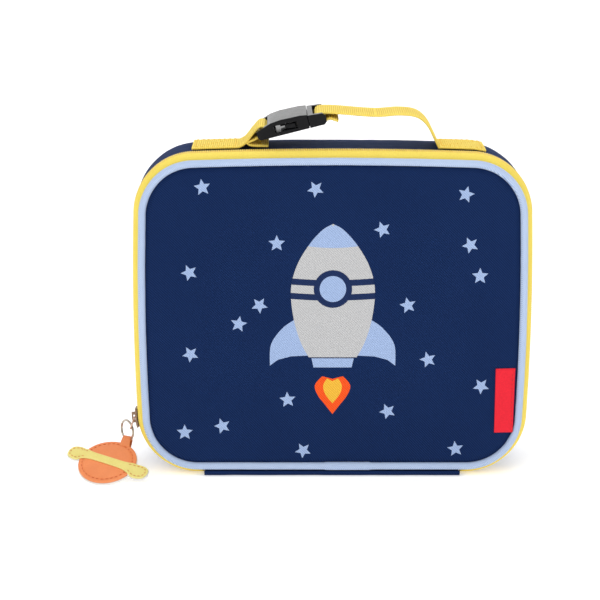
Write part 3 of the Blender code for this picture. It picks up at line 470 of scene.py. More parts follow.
def foil_lining(name):
    """Silvery insulated lining, faintly crinkled, with a quilted diamond emboss."""
    s = Shader(name, 0.34, 0.55)
    lines = [s.remap(s.wave(9.0, way, 0.0, s.mapped(s.mm, (1, 1, 1), (0, math.radians(45), 0))),
                     0.0, 0.25) for way in ("X", "Z")]
    quilt = s.calc("MINIMUM", *lines)
    crinkle = s.noise(0.25, 4.0, 0.65)
    tone = s.mix(s.remap(crinkle, 0.3, 0.7), (0.52, 0.53, 0.55), (0.74, 0.75, 0.77))
    s.colour(s.mix(s.remap(quilt, 0.0, 1.0, 0.3, 0.0), tone, (0.35, 0.36, 0.38)))
    s.roughness(s.remap(crinkle, 0.3, 0.7, 0.26, 0.45))
    s.bump(s.calc("ADD", s.calc("MULTIPLY", quilt, 0.6), crinkle), 0.45 * MM, 0.5)
    return s.mat


def foam_cut(name):
    s = Shader(name, 0.95)
    cells = s.noise(3.0, 3.0, 0.7)
    s.colour(s.mix(s.remap(cells, 0.3, 0.7), (0.60, 0.60, 0.58), (0.82, 0.82, 0.80)))
    s.bump(cells, 0.2 * MM, 0.7)
    return s.mat


def printed(name, colour, dark):
    """Ink sunk in the canvas: the same yarns show through it."""
    return canvas(name, colour, dark, tuple(min(1.0, c * 1.15) for c in colour), sheen=0.03,
                  tint=(1.0, 1.0, 1.0))


NAVY = canvas("navy_canvas", (0.0052, 0.0225, 0.092), (0.0010, 0.0085, 0.046),
              (0.017, 0.048, 0.165), sheen=0.04)
PIPING = canvas("light_blue_piping_cloth", (0.53, 0.63, 0.81), (0.30, 0.41, 0.64),
                (0.74, 0.82, 0.94), yarn=0.55, sheen=0.04, tint=(0.9, 0.95, 1.0))
TAPE = tape_cloth("yellow_tape", (0.92, 0.74, 0.135), (0.74, 0.52, 0.06))
COIL = nylon("yellow_coil", (0.90, 0.66, 0.12), (0.74, 0.46, 0.05))
WEBBING = webbing_cloth("yellow_webbing", (0.97, 0.80, 0.18), (0.78, 0.48, 0.03))
YELLOW_THREAD = thread("yellow_thread", (0.93, 0.62, 0.06), (0.66, 0.36, 0.02))
RED = tape_cloth("red_ribbon", (0.86, 0.016, 0.036), (0.58, 0.008, 0.020))
RED_THREAD = thread("red_thread", (0.62, 0.01, 0.015), (0.40, 0.005, 0.01))
# BLACK's second colour lightens smears and paints the highlight on its edges.
BLACK = moulded("black_moulded", (0.004, 0.004, 0.005), (0.014, 0.014, 0.016))
BRONZE = metal("dark_bronze_plate", (0.30, 0.20, 0.14), (0.10, 0.06, 0.045), 0.32)
ROSE = metal("rose_gold_plate", (0.72, 0.45, 0.33), (0.45, 0.25, 0.17), 0.22)
STEEL = metal("antique_nickel", (0.60, 0.53, 0.45), (0.28, 0.22, 0.17), 0.24)
# Each leatherette's third colour lightens its rims: partly rubbed wear, partly painted highlight.
ORANGE = leatherette("orange_leatherette_grain", (0.90, 0.275, 0.085), (0.72, 0.18, 0.045),
                     (0.95, 0.39, 0.17))
BAND = leatherette("yellow_leatherette_grain", (0.87, 0.76, 0.24), (0.72, 0.58, 0.12),
                   (0.95, 0.88, 0.45))
BACKING = leatherette("white_backing_grain", (0.85, 0.83, 0.79), (0.66, 0.63, 0.58),
                      (0.92, 0.91, 0.88))
ORANGE_THREAD = thread("burnt_orange_thread", (0.70, 0.13, 0.02), (0.45, 0.07, 0.01))
LINING = foil_lining("silver_lining_film")
FOAM = foam_cut("foam_edge")
INK_BLUE = printed("light_blue_ink", (0.37, 0.48, 0.71), (0.27, 0.37, 0.60))
INK_GREY = printed("grey_ink", (0.54, 0.54, 0.54), (0.42, 0.42, 0.43))
INK_ORANGE = printed("orange_ink", (0.95, 0.105, 0.018), (0.74, 0.07, 0.012))
INK_YELLOW = printed("yellow_ink", (0.88, 0.50, 0.055), (0.72, 0.38, 0.035))
INK_NAVY = printed("navy_ink", (0.014, 0.030, 0.100), (0.009, 0.020, 0.070))


# ---- front and back cloths --------------------------------------------------------------
DOME = 1.5 * MM
FACE_ROWS = [0.0, 0.6, 1.2, 2.0, 3.0, 4.5, 6.5, 9.0, 12.0, 16.0, 21.0, 27.0, 34.0, 42.0, 50.0,
             58.0, 66.0, 74.0, 80.0, 84.0]     # millimetres in from the seam
FACE_REACH = 86.0       # rows shrink towards the middle over this distance
SEAM_TUCK = 0.45 * MM
SEAM_ROLL, ROLL_REACH = 1.7 * MM, 3.2
PUCKER, PUCKER_REACH = 0.30 * MM, 4.0
HALF_PANEL = HALF + SIDE_BOW + PANEL_D
HIGH_PANEL = MID_Z + PANEL_D


def swell(x, z, seed):
    """How far a padded face stands out at a point, with soft unevenness."""
    u = min(abs(x) / HALF_PANEL, 1.0)
    v = min(abs(z - MID_Z) / HIGH_PANEL, 1.0)
    crown = (1 - u ** 5) * (1 - v ** 5)
    soft = 0.45 * wobble(x, 0, z, 55 * MM, seed) + 0.22 * wobble(x, 0, z, 21 * MM, seed + 3)
    return crown * (DOME + soft * MM)


def face_cloth(name, mat, y_face, side, seed):
    """Padded face: the cloth rolls in at the seam beside the piping and puckers there."""
    edge = outline(2.0 * MM)
    rings = []
    for row in FACE_ROWS:
        ring = []
        for x, z, nx, nz, run in edge:
            ex, ez = x + nx * PANEL_D, z + nz * PANEL_D
            k = 1 - row / FACE_REACH
            fx, fz = ex * k, MID_Z + (ez - MID_Z) * k
            tuck = SEAM_TUCK if row == 0.0 else 0.0
            px = ex - nx * (row * MM - tuck)
            pz = ez - nz * (row * MM - tuck)
            t = max(0.0, min(1.0, (row - 9.0) / 20.0))
            sx, sz = px + (fx - px) * t, pz + (fz - pz) * t
            roll = SEAM_ROLL * max(0.0, 1 - row / ROLL_REACH) ** 2
            pucker = PUCKER * math.exp(-min(row, 12.0) / PUCKER_REACH) * (
                wobble(run, 0, 0, 3.4 * MM, seed) + 0.5 * wobble(run, 0, 0, 9 * MM, seed))
            out = swell(sx, sz, seed) - roll + pucker * (1 if row > 0.5 else 0)
            ring.append(Vector((sx, y_face + side * out, sz)))
        rings.append(ring)
    obj = skin(name, rings, mat, caps=False)
    mesh = obj.data
    bm = bmesh.new()
    bm.from_mesh(mesh)
    bm.verts.ensure_lookup_table()
    m = len(edge)
    inner = [bm.verts[(len(FACE_ROWS) - 1) * m + j] for j in range(m)]
    middle = bm.verts.new((0.0, y_face + side * swell(0, MID_Z, seed), MID_Z))
    for j in range(m):
        bm.faces.new((inner[j], inner[(j + 1) % m], middle)).smooth = True
    bmesh.ops.recalc_face_normals(bm, faces=bm.faces)
    bm.to_mesh(mesh)
    bm.free()
    return obj


FRONT_SEED = 1.0        # the print and the label follow the same unevenness
front_cloth = face_cloth("front_cloth", NAVY, PANEL_Y, -1, FRONT_SEED)
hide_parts("front_panel")
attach(front_cloth, "lid")
back_cloth = face_cloth("back_cloth", NAVY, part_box("back_panel")[1][1], 1, 8.0)
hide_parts("back_panel")
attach(back_cloth, "bag_body")


# ---- printed rocket and stars -----------------------------------------------------------
PRINT_CELL = 4 * MM
STAR_SIZE, STAR_WAIST = 4.9, 0.46


def print_shape(name, points, mat, lift):
    """Flat shape, drawn in millimetres, laid on the front cloth and cut to follow it."""
    bm = bmesh.new()
    bm.faces.new([bm.verts.new((x * MM, 0.0, z * MM)) for x, z in points])
    for axis in (0, 2):
        low = min(v.co[axis] for v in bm.verts)
        high = max(v.co[axis] for v in bm.verts)
        count = int((high - low) / PRINT_CELL)
        for i in range(1, count + 1):
            at = [0.0, 0.0, 0.0]
            at[axis] = low + (high - low) * i / (count + 1)
            way = [0.0, 0.0, 0.0]
            way[axis] = 1.0
            bmesh.ops.bisect_plane(bm, geom=bm.verts[:] + bm.edges[:] + bm.faces[:],
                                   dist=1e-8, plane_co=at, plane_no=way)
    bmesh.ops.triangulate(bm, faces=bm.faces)
    for v in bm.verts:
        v.co.y = PANEL_Y - swell(v.co.x, v.co.z, FRONT_SEED) - lift
    bmesh.ops.recalc_face_normals(bm, faces=bm.faces)
    mesh = bpy.data.meshes.new(name)
    bm.to_mesh(mesh)
    bm.free()
    obj = finish_mesh(mesh, mat)
    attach(obj, "lid")
    return obj


def star_points(cx, cz, size, turn):
    out = []
    for i in range(10):
        r = size * (1.0 if i % 2 == 0 else STAR_WAIST)
        a = math.radians(turn + 90 + 36 * i)
        out.append((cx + r * math.cos(a), cz + r * math.sin(a)))
    return out


# Place and turn of each star, in millimetres and degrees.
STARS = [(-74, 171, 8), (-10, 170, 30), (75, 167, -14), (28, 147, 20), (-32, 139, 0),
         (78, 138, 25), (-82, 122, 22), (84, 120, 0), (-42, 103, 40), (43, 103, 12),
         (-54, 92, -10), (-82, 74, 30), (55, 71, 16), (86, 55, 34), (-26, 47, 5),
         (32, 40, 24), (-86, 27, 0), (-64, 31, 18), (-17, 16, 30), (72, 17, 8)]
LIFT = 0.10 * MM
prints = [print_shape(f"star_{i + 1:02d}", star_points(x, z, STAR_SIZE, turn), INK_BLUE, LIFT)
          for i, (x, z, turn) in enumerate(STARS)]

# Right-hand half of the rocket's body, nose to tail.
HULL = spline([(0.0, 147.8), (6.0, 144.4), (13.5, 136.0), (20.5, 124.0), (24.0, 110.0),
               (22.5, 93.0), (18.5, 79.0), (13.8, 70.0)], 6)


def width_at(z):
    for (xa, za), (xb, zb) in zip(HULL, HULL[1:]):
        if zb <= z <= za:
            return xa + (xb - xa) * (za - z) / max(za - zb, 1e-9)
    return HULL[-1][0]


def hull_slice(top, bottom, sag=1.0):
    """Piece of the body between two heights, its edges curving gently down."""
    def edge(z, way):
        return [(way * width_at(z) * (1 - 2 * i / 12), z - sag * (1 - (1 - 2 * i / 12) ** 2))
                for i in range(1, 12)]

    heights = [top - (top - bottom) * i / 10 for i in range(11)]
    side = [(width_at(z), z) for z in heights]
    high = edge(top, -1) if width_at(top) > 0.5 else []
    return side + edge(bottom, 1) + [(-x, z) for x, z in reversed(side)] + high


def disc(cx, cz, r, count=32):
    return [(cx + r * c, cz + r * s) for c, s in circle(count)]


def mirrored(half):
    """Close a right-hand outline that starts and ends on the middle line."""
    return list(half) + [(-x, z) for x, z in reversed(half) if x > 1e-6]


FIN = spline([(21.5, 92.5), (29.0, 87.0), (35.5, 77.5), (36.2, 65.0)], 6)
FIN += [(31.5, 68.5), (24.0, 70.5), (13.9, 71.0)]
FLAME = spline([(6.0, 58.8), (10.2, 53.5), (8.6, 47.5), (4.2, 41.5), (0.0, 36.0)], 5)
FLAME_IN = spline([(3.2, 57.5), (5.4, 53.2), (4.2, 48.0), (0.0, 42.5)], 5)
UPLIFT = 2.4            # the rocket sits this many millimetres above its drawing
rocket = [
    ("rocket_fin_left", [(-x, z) for x, z in FIN], INK_BLUE, 0.10),
    ("rocket_fin_right", FIN, INK_BLUE, 0.10),
    ("rocket_body", mirrored(HULL + [(0.0, 70.0)]), INK_GREY, 0.12),
    ("rocket_nose", hull_slice(147.4, 135.0), INK_BLUE, 0.14),
    ("rocket_stripe_top", hull_slice(116.4, 112.8), INK_NAVY, 0.14),
    ("rocket_stripe_low", hull_slice(108.0, 104.4), INK_NAVY, 0.14),
    ("rocket_window_ring", disc(0.0, 110.2, 11.0), INK_NAVY, 0.16),
    ("rocket_window", disc(0.0, 110.2, 7.6), INK_BLUE, 0.18),
    ("rocket_tail", [(12.2, 69.4), (11.0, 64.0), (-11.0, 64.0), (-12.2, 69.4)], INK_BLUE, 0.14),
    ("rocket_flame", mirrored([(0.0, 57.2)] + FLAME), INK_ORANGE, 0.10),
    ("rocket_flame_core", mirrored([(0.0, 55.8)] + FLAME_IN), INK_YELLOW, 0.12),
]
prints += [print_shape(name, [(x, z + UPLIFT) for x, z in points], mat, lift * MM)
           for name, points, mat, lift in rocket]


# ---- piping ---------------------------------------------------------------------------
def piping(name, y_mid, lap, seed):
    """Cord in bias cloth; its two ends lap over each other at the base."""
    path = outline(1.2 * MM)
    total = path[-1][4]
    rings = []
    for p in path:
        x, z, run = p[0], p[1], p[4]
        lapped = z < 1 * MM and lap[0] < x < lap[1]
        r = PIPE_R * 0.97 + (0.28 * MM if lapped else 0.0)
        r += 0.05 * MM * wobble(run, 0, 0, 5 * MM, seed)
        drift = 0.12 * MM * wobble(run, 0, 0, 17 * MM, seed + 2) * math.sin(math.pi * run / total)
        section = [(y_mid + r * c, PIPE_D + drift + r * s) for c, s in circle(16)]
        rings.append(ring_points(p, section))
    return skin(name, rings, PIPING, around=True)


piping_front = piping("piping_front_cord", FRONT + PIPE_R, (-4.6 * MM, 22.0 * MM), 2.0)
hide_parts("piping_front")
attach(piping_front, "lid")
piping_back = piping("piping_back_cord", BACK - PIPE_R, (10 * MM, 34 * MM), 5.0)
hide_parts("piping_back")
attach(piping_back, "bag_body")


# ---- zip ------------------------------------------------------------------------------
COIL_PITCH, COIL_R = 1.25 * MM, 1.5 * MM


def lid_tape_piece():
    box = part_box("zip_tape_lid")
    y0, y1 = box[0][1], COIL_Y[0] - 0.1 * MM
    outer = spline(near(y0, PIPE_D, [(0.3, 1.2)])
                   + near(y0, 0.0, [(0.5, -3.9), (1.5, -2.35), (2.9, -1.1), (4.0, -0.6)])
                   + [(y1, -0.7 * MM)], 3)
    inner = [(y1, -1.6 * MM)] + near(y0, 0.0, [(3.2, -1.9), (1.6, -3.6)])
    inner += near(y0, PIPE_D, [(1.2, 1.2)])
    rings = []
    for p in outline(1.6 * MM, closed=False):
        ease = 0.12 * MM * wobble(p[4], 0, 0, 6 * MM, 4.0)
        rings.append(ring_points(p, [(y, d + ease) for y, d in outer] + inner))
    obj = skin("zip_tape_lid_cloth", rings, TAPE)
    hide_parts("zip_tape_lid")
    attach(obj, "lid")
    return obj


def coil(name, span, node, body):
    """Nylon coil: rounded turns at an even pitch."""
    slices = 6
    path = resample([p[:4] for p in outline(1.0 * MM, closed=False)], COIL_PITCH / slices, dims=2)
    y_mid = (span[0] + span[1]) / 2
    half_y = (span[1] - span[0]) / 2
    rings = []
    for i, p in enumerate(path):
        wave = math.sin(math.pi * (i % slices) / slices)
        k = 0.55 + 0.45 * wave ** 0.6
        section = [(y_mid + half_y * k * math.copysign(abs(c) ** 0.7, c),
                    -COIL_R + COIL_R * k * math.copysign(abs(s) ** 0.7, s)) for c, s in circle(12)]
        rings.append(ring_points(p, section))
    obj = skin(name, rings, COIL)
    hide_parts(node)
    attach(obj, body)
    return obj


def body_tape_piece():
    y0 = BODY_COIL_Y[1] + 0.1 * MM
    y1 = WALL_Y[0]
    section = near(y0, 0.0, [(0.0, -0.9)])
    section += near(y1, 0.0, [(-0.4, -1.0), (0.6, -2.5), (3.2, -2.6), (3.2, -3.2), (0.3, -3.2),
                              (-0.6, -1.8)]) + near(y0, 0.0, [(0.0, -1.7)])
    rings = [ring_points(p, section) for p in outline(2.0 * MM, closed=False)]
    obj = skin("zip_tape_body_cloth", rings, TAPE)
    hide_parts("zip_tape_body")
    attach(obj, "bag_body")
    return obj


TAPE_LENGTH = outline(2.0 * MM, closed=False)[-1][4]
lid_tape = lid_tape_piece()
coil("zip_coil_lid_turns", COIL_Y, "zip_coil_lid", "lid")
coil("zip_coil_body_turns", BODY_COIL_Y, "zip_coil_body", "bag_body")
body_tape_piece()


# ---- gusset and base --------------------------------------------------------------------
def wall_line(nz):
    """The gusset's outer line, zip edge to back seam, as (y, outward offset)."""
    crown = 1.2 * MM * (1.0 if nz >= 0 else 1.0 + nz)
    deep = WALL_Y[1] - WALL_Y[0]
    rim = -1.2 * MM
    return [(WALL_Y[0] + along * deep, rim + out * MM + share * crown) for along, out, share in (
        (0.0, 0.0, 0.0), (0.12, 0.5, 0.4), (0.45, 1.1, 1.0), (0.70, 1.0, 0.8), (0.88, 0.2, 0.2),
        (0.96, -1.2, 0.0), (1.0, -3.0, 0.0))]


def gusset_cloth():
    rings = []
    for p in outline(1.8 * MM, closed=False):
        x, z, _, nz, run = p
        line = resample(spline(wall_line(nz), 4), 1.4 * MM)
        top = []
        for y, d in line:
            edge = min(y - WALL_Y[0], WALL_Y[1] - y)
            fold = (-0.35 * MM * math.exp(-edge / (5 * MM))
                    * (0.5 + 0.5 * wobble(run, 0, 0, 4 * MM, 6.0)))
            sag = (-0.7 * MM * (0.5 + 0.5 * wobble(x, y * 0.7, z, 42 * MM, 3.0))
                   * min(edge / (8 * MM), 1))
            crease = -0.25 * MM * abs(wobble(x, y * 2, z, 15 * MM, 9.0)) * min(edge / (4 * MM), 1)
            top.append((y, d + fold + sag + crease))
        hem = [(WALL_Y[0] - 0.25 * MM, top[0][1] - 0.35 * MM)]
        low = [(y, d - 0.9 * MM) for y, d in reversed(top[::4])]
        rings.append(ring_points(p, hem + top + low))
    count = min(len(r) for r in rings)
    rings = [r[:count] for r in rings]
    obj = skin("gusset_cloth", rings, NAVY)
    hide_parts("gusset_outer")
    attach(obj, "bag_body")
    return obj


gusset = gusset_cloth()


def base_cloth():
    """Base strip: folds up behind the front piping and covers both zip ends."""
    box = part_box("bottom_panel")
    y0, y1 = box[0][1], box[1][1]
    outer = spline(near(y0, 0.0, [(0.0, 3.0), (0.15, 1.7), (0.9, 0.6), (2.4, 0.0), (12, 0.0)])
                   + near(y1, 0.0, [(-12, 0.0), (-2.2, 0.05), (-0.7, 0.8), (0.0, 3.0)]), 4)
    inner = near(y1, 0.0, [(-1.0, 3.0), (-2.3, 1.0)]) + near(y0, 0.0, [(2.6, 1.0), (1.0, 3.0)])
    rings = []
    steps = 90
    for i in range(steps + 1):
        x = -BASE_HALF + 2 * BASE_HALF * i / steps
        ring = []
        for y, z in outer:
            lift = 0.25 * MM * max(0.0, wobble(x, y, 0, 14 * MM, 5.0)) if z < 0.5 * MM else 0.0
            ring.append(Vector((x, y, z + lift)))
        ring += [Vector((x, y, z)) for y, z in inner]
        rings.append(ring)
    obj = skin("base_cloth", rings, NAVY)
    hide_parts("bottom_panel")
    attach(obj, "bag_body")
    return obj


base = base_cloth()


# ---- handle -----------------------------------------------------------------------------
BUCKLE_AXIS = Vector(JOINTS["buckle_release"]["axis"])
BUCKLE_TILT = math.atan2(BUCKLE_AXIS.z, BUCKLE_AXIS.x)
BUCKLE_LENGTH, FEMALE_SHARE = 40.6 * MM, 30.3 * MM
BUCKLE_X, BUCKLE_Z = -24 * MM, TOP + 15.2 * MM
BAR_R = 1.7 * MM
BAR_U = BUCKLE_LENGTH / 2 - BAR_R - 1.2 * MM
WRAP = BAR_R + GAP + STRAP_THICK / 2
SEAT_RISE = 0.75 * MM           # the gusset's crown lifts the webbing this much
STRAP_PEAK = 21 * MM
RIB_PITCH = 1.2 * MM


def buckle_point(u, v):
    c, s = math.cos(BUCKLE_TILT), math.sin(BUCKLE_TILT)
    return BUCKLE_X + u * c - v * s, BUCKLE_Z + u * s + v * c


def wrap_bar(u, start, stop, steps=14):
    out = []
    for i in range(steps + 1):
        a = math.radians(start + (stop - start) * i / steps)
        out.append(buckle_point(u + WRAP * math.cos(a), WRAP * math.sin(a)))
    return out


def seat_z(x):
    """Height of webbing's middle line where it lies sewn on the gusset."""
    over = max(0.0, abs(x) - CORNER_X)
    t = min(1.0, abs(x) / CORNER_X)
    drop = CORNER_RADIUS - math.sqrt(CORNER_RADIUS ** 2 - over ** 2)
    return TOP + TOP_BOW * (1 - t * t) - drop + SEAT_RISE + STRAP_THICK / 2


def left_line():
    seat = [(x * MM, seat_z(x * MM)) for x in (-81, -74, -67, -60, -54)]
    ex, ez = seat[-1]
    loop = wrap_bar(-BAR_U, 128, -115)
    tx, tz = loop[0]
    rise = [seat[-1], (ex + 0.34 * (tx - ex), ez + 0.20 * (tz - ez)),
            (ex + 0.72 * (tx - ex), ez + 0.68 * (tz - ez)), loop[0]]
    bx, bz = loop[-1]
    low = seat_z(-44 * MM)
    tail = [loop[-1]] + near(bx, bz, [(-3.2, -1.9)]) + near(
        0.0, low, [(-47.2, 3.1), (-48.9, 2.1), (-47.4, 1.0), (-44.0, 0.5), (-37.0, 0.45)])
    return seat[:-1] + spline(rise, 6)[:-1] + loop[:-1] + spline(tail, 5)


def right_line():
    seat = [(x * MM, seat_z(x * MM)) for x in (88, 81, 74, 67, 61)]
    ex, ez = seat[-1]
    loop = wrap_bar(BAR_U, 78, 285)
    tx = loop[0][0]
    peak = TOP + STRAP_PEAK
    arch = ([seat[-1]] + near(ex, ez, [(-2.6, 5.5), (-6.8, 13.0)])
            + near(ex, peak, [(-13.0, -1.2), (-23.0, 0.0), (-37.0, -0.8)])
            + near(tx, peak, [(8.0, 0.9)]) + [loop[0]])
    bx, bz = loop[-1]
    tail = [loop[-1]] + near(bx, bz, [(4.0, 1.9)]) + near(bx, peak - STRAP_THICK, [(8.8, -2.2)])
    return seat[:-1] + spline(arch, 8)[:-1] + loop[:-1] + spline(tail, 5)


def webbing(name, line):
    """Ribbed webbing: cross ribs at an even pitch and a firm woven edge."""
    slices = 6
    pts = resample(line, RIB_PITCH / slices)
    half_w, half_t = STRAP_WIDTH / 2, STRAP_THICK / 2
    columns = [-1.0, -0.97, -0.9, -0.6, -0.3, 0.0, 0.3, 0.6, 0.9, 0.97, 1.0]
    rings = []
    for i, (x, z) in enumerate(pts):
        a, b = pts[max(i - 2, 0)], pts[min(i + 2, len(pts) - 1)]
        tx, tz = b[0] - a[0], b[1] - a[1]
        size = math.hypot(tx, tz)
        nx, nz = -tz / size, tx / size
        rib = abs(math.sin(math.pi * i / slices))
        ring = []
        for face in (1, -1):
            for c in columns if face > 0 else reversed(columns):
                edge = 1 - 0.45 * max(0.0, (abs(c) - 0.9) / 0.1) ** 2
                t = half_t * edge * (0.60 + 0.40 * rib ** 0.7)
                jitter = 0.22 * MM * (1 - rib) if abs(c) > 0.95 else 0.0
                y = c * half_w - math.copysign(jitter, c)
                ring.append(Vector((x + nx * face * t, STRAP_Y + y,
                                    z + nz * face * t + STRAP_TILT * y)))
        rings.append(ring)
    return skin(name, rings, WEBBING), len(pts) * RIB_PITCH / slices


def seat_stitches(name, x0, x1, body):
    """Box of stitches that sews the webbing down."""
    inset = 2.2 * MM
    y0, y1 = -STRAP_WIDTH / 2 + inset, STRAP_WIDTH / 2 - inset
    corners = [(x0, y0), (x1, y0), (x1, y1), (x0, y1), (x0, y0), (x1, y1)]
    line = []
    for (xa, ya), (xb, yb) in zip(corners, corners[1:]):
        for i in range(12):
            x, y = xa + (xb - xa) * i / 12, ya + (yb - ya) * i / 12
            line.append((x, STRAP_Y + y, seat_z(x) + STRAP_THICK / 2 * 0.86 + STRAP_TILT * y))
    obj = stitches(name, line, lambda p: Vector((0, -STRAP_TILT, 1)).normalized(),
                   2.4 * MM, 0.7 * MM, 0.24 * MM, YELLOW_THREAD)
    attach(obj, body)
    return obj


left_strap, left_length = webbing("strap_left_webbing", left_line())
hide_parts("strap_left")
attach(left_strap, "bag_body")
left_sewn = seat_stitches("strap_left_stitches", -79 * MM, -56 * MM, "bag_body")
right_strap, right_length = webbing("strap_right_webbing", right_line())
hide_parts("strap_right")
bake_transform(right_strap)
right_sewn = seat_stitches("strap_right_stitches", 63 * MM, 86 * MM, "bag_body")


# ---- buckle, slider and stops ----------------------------------------------------------
def soften(node, width, mat, segments=3):
    """Round a hard CAD piece's edges and give it its finish."""
    obj = NODES[node]
    weld = obj.modifiers.new("weld", "WELD")
    weld.merge_threshold = 0.00001
    bevel = obj.modifiers.new("bevel", "BEVEL")
    bevel.width = width
    bevel.segments = segments
    bevel.limit_method = "ANGLE"
    bevel.angle_limit = math.radians(28)
    bevel.use_clamp_overlap = True
    normal = obj.modifiers.new("normal", "WEIGHTED_NORMAL")
    normal.keep_sharp = False
    for poly in obj.data.polygons:
        poly.use_smooth = True
    dress(node, mat)


def dress(node, mat):
    obj = NODES[node]
    obj.data.materials.clear()
    obj.data.materials.append(mat)


for node, width, mat in (("buckle_female", 0.55, BLACK), ("buckle_male", 0.55, BLACK),
                         ("prong_front", 0.35, BLACK), ("prong_back", 0.35, BLACK),
                         ("slider_body", 0.28, BRONZE), ("zip_stop_left", 0.15, BRONZE),
                         ("zip_stop_right", 0.15, BRONZE)):
    soften(node, width * MM, mat)
for poly in NODES["slider_pull"].data.polygons:
    poly.use_smooth = True
dress("slider_pull", ROSE)


def split_ring():
    """Flattened spring wire wound twice round, its ends lying beside each other."""
    tab = Vector(JOINTS["charm_swing"]["pos_m"])
    wire = [NODES["split_ring"].matrix_world @ v.co for v in NODES["split_ring"].data.vertices]
    centre = sum(wire, Vector()) / len(wire)
    lateral = Vector(JOINTS["charm_swing"]["axis"]).normalized()
    up = (centre - tab).normalized()
    through = lateral.cross(up).normalized()
    radius, wide, thin = 6.0 * MM, 0.58 * MM, 0.34 * MM
    turns, count, shift = 1.97, 150, 0.62 * MM
    rings = []
    for i in range(count + 1):
        a = 2 * math.pi * turns * i / count + math.radians(250)
        out = lateral * math.cos(a) + up * math.sin(a)
        cross = shift * max(-0.5, min(0.5, (i / count - 0.5) * 6))
        mid = centre + out * radius + through * cross
        rings.append([mid + out * wide * c + through * thin * s for c, s in circle(10)])
    obj = skin("split_ring_wire", rings, STEEL)
    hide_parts("split_ring")
    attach(obj, "ring")


split_ring()
for node in ("front_lining", "back_lining", "gusset_lining", "rim_binding", "lid_binding",
             "hinge_pad"):
    dress(node, LINING)
dress("gusset_foam", FOAM)


def buckle_lip():
    """Shoulder of the insert that closes the joint line between the buckle's halves."""
    split = FEMALE_SHARE - BUCKLE_LENGTH / 2
    half_w, half_t = STRAP_WIDTH / 2 + 3.0 * MM, 2.6 * MM
    rings = []
    for u in (split + 0.04 * MM, split + 1.4 * MM):
        ring = []
        for side, face in ((-1, -1), (1, -1), (1, 1), (-1, 1)):
            x, z = buckle_point(u, face * half_t)
            ring.append(Vector((x, STRAP_Y + side * half_w, z + STRAP_TILT * side * half_w)))
        rings.append(ring)
    obj = skin("buckle_lip", rings, BLACK)
    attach(obj, "buckle_insert")


buckle_lip()


def foam_slab(node, body):
    """Foam board cut a little smaller than its panel, with softened edges."""
    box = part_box(node)
    y0, y1 = box[0][1], box[1][1]
    inset = PANEL_D - 3.0 * MM
    soft = 0.8 * MM
    rings = []
    for y, d in ((y0, inset - 30 * MM), (y0, inset - soft), (y0 + soft, inset), (y1 - soft, inset),
                 (y1, inset - soft), (y1, inset - 30 * MM)):
        rings.append([ring_points(p, [(y, d)])[0] for p in outline(3.0 * MM)])
    obj = skin(node + "_board", rings, FOAM)
    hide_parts(node)
    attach(obj, body)


foam_slab("front_foam", "lid")
foam_slab("back_foam", "bag_body")


# ---- label ----------------------------------------------------------------------------
def label():
    """Red folded ribbon in the right seam; its face is left plain."""
    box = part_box("label_tag")
    x0, x1, z0, z1 = box[0][0], box[1][0], box[0][2], box[1][2]
    rows, cols = 24, 10
    rings = []
    for i in range(rows + 1):
        z = z0 + (z1 - z0) * i / rows
        ring = []
        lean = 0.6 * MM * (1 - i / rows)
        for side in (-1, 1):
            for j in range(cols + 1):
                t = j / cols if side < 0 else 1 - j / cols
                x = x0 + (x1 - lean - x0) * t
                curl = 0.35 * MM * (1 - t) ** 2 * (1 + 0.6 * wobble(0, 0, z, 14 * MM, 2.0))
                y = PANEL_Y - swell(x, z, FRONT_SEED) - 0.15 * MM - curl + side * 0.22 * MM
                ring.append(Vector((x, y, z)))
        rings.append(ring)
    obj = skin("label_ribbon", rings, RED)
    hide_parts("label_tag")
    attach(obj, "lid")
    xs, steps = x1 - 1.6 * MM, 20
    line = [(xs, PANEL_Y - swell(xs, z0 + (z1 - z0) * i / steps, FRONT_SEED) - 0.40 * MM,
             z0 + 1 * MM + (z1 - z0 - 2 * MM) * i / steps) for i in range(steps + 1)]
    sewn = stitches("label_stitches", line, lambda p: Vector((0, -1, 0)), 2.0 * MM, 0.7 * MM,
                    0.20 * MM, RED_THREAD)
    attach(sewn, "lid")


label()


# ---- charm ----------------------------------------------------------------------------
CHARM_TURN, CHARM_LEAN = math.radians(-10), math.radians(25.6)
CX = Vector((math.cos(CHARM_TURN), math.sin(CHARM_TURN), 0))
CY = Vector((-math.sin(CHARM_TURN) * math.cos(CHARM_LEAN),
             math.cos(CHARM_TURN) * math.cos(CHARM_LEAN), math.sin(CHARM_LEAN)))
CZ = CX.cross(CY)
TAB = Vector(JOINTS["charm_swing"]["pos_m"])
TAB_AT = (7.0, 20.4)
CHARM_MID = TAB - CX * TAB_AT[0] * MM - CY * TAB_AT[1] * MM
DISC_R = 17.5                   # the charm's own sizes are in millimetres
PLANET_RIM, PLANET_DOME = 1.2, 0.55
BAND_TURN = math.radians(-18)


def charm_point(x, y, z):
    return CHARM_MID + (CX * x + CY * y + CZ * z) * MM


def planet_top(x, y):
    """Height of the planet's face over its middle plane."""
    r = math.hypot(x, y) / DISC_R
    return PLANET_RIM + PLANET_DOME * (1 - min(r, 1.0) ** 3)


def offset_edge(edge, k):
    """Closed outline moved inwards by k along its normals."""
    n = len(edge)
    out = []
    for i, (x, y) in enumerate(edge):
        a, b = edge[i - 1], edge[(i + 1) % n]
        tx, ty = b[0] - a[0], b[1] - a[1]
        size = math.hypot(tx, ty)
        out.append((x - ty / size * k, y + tx / size * k))
    return out


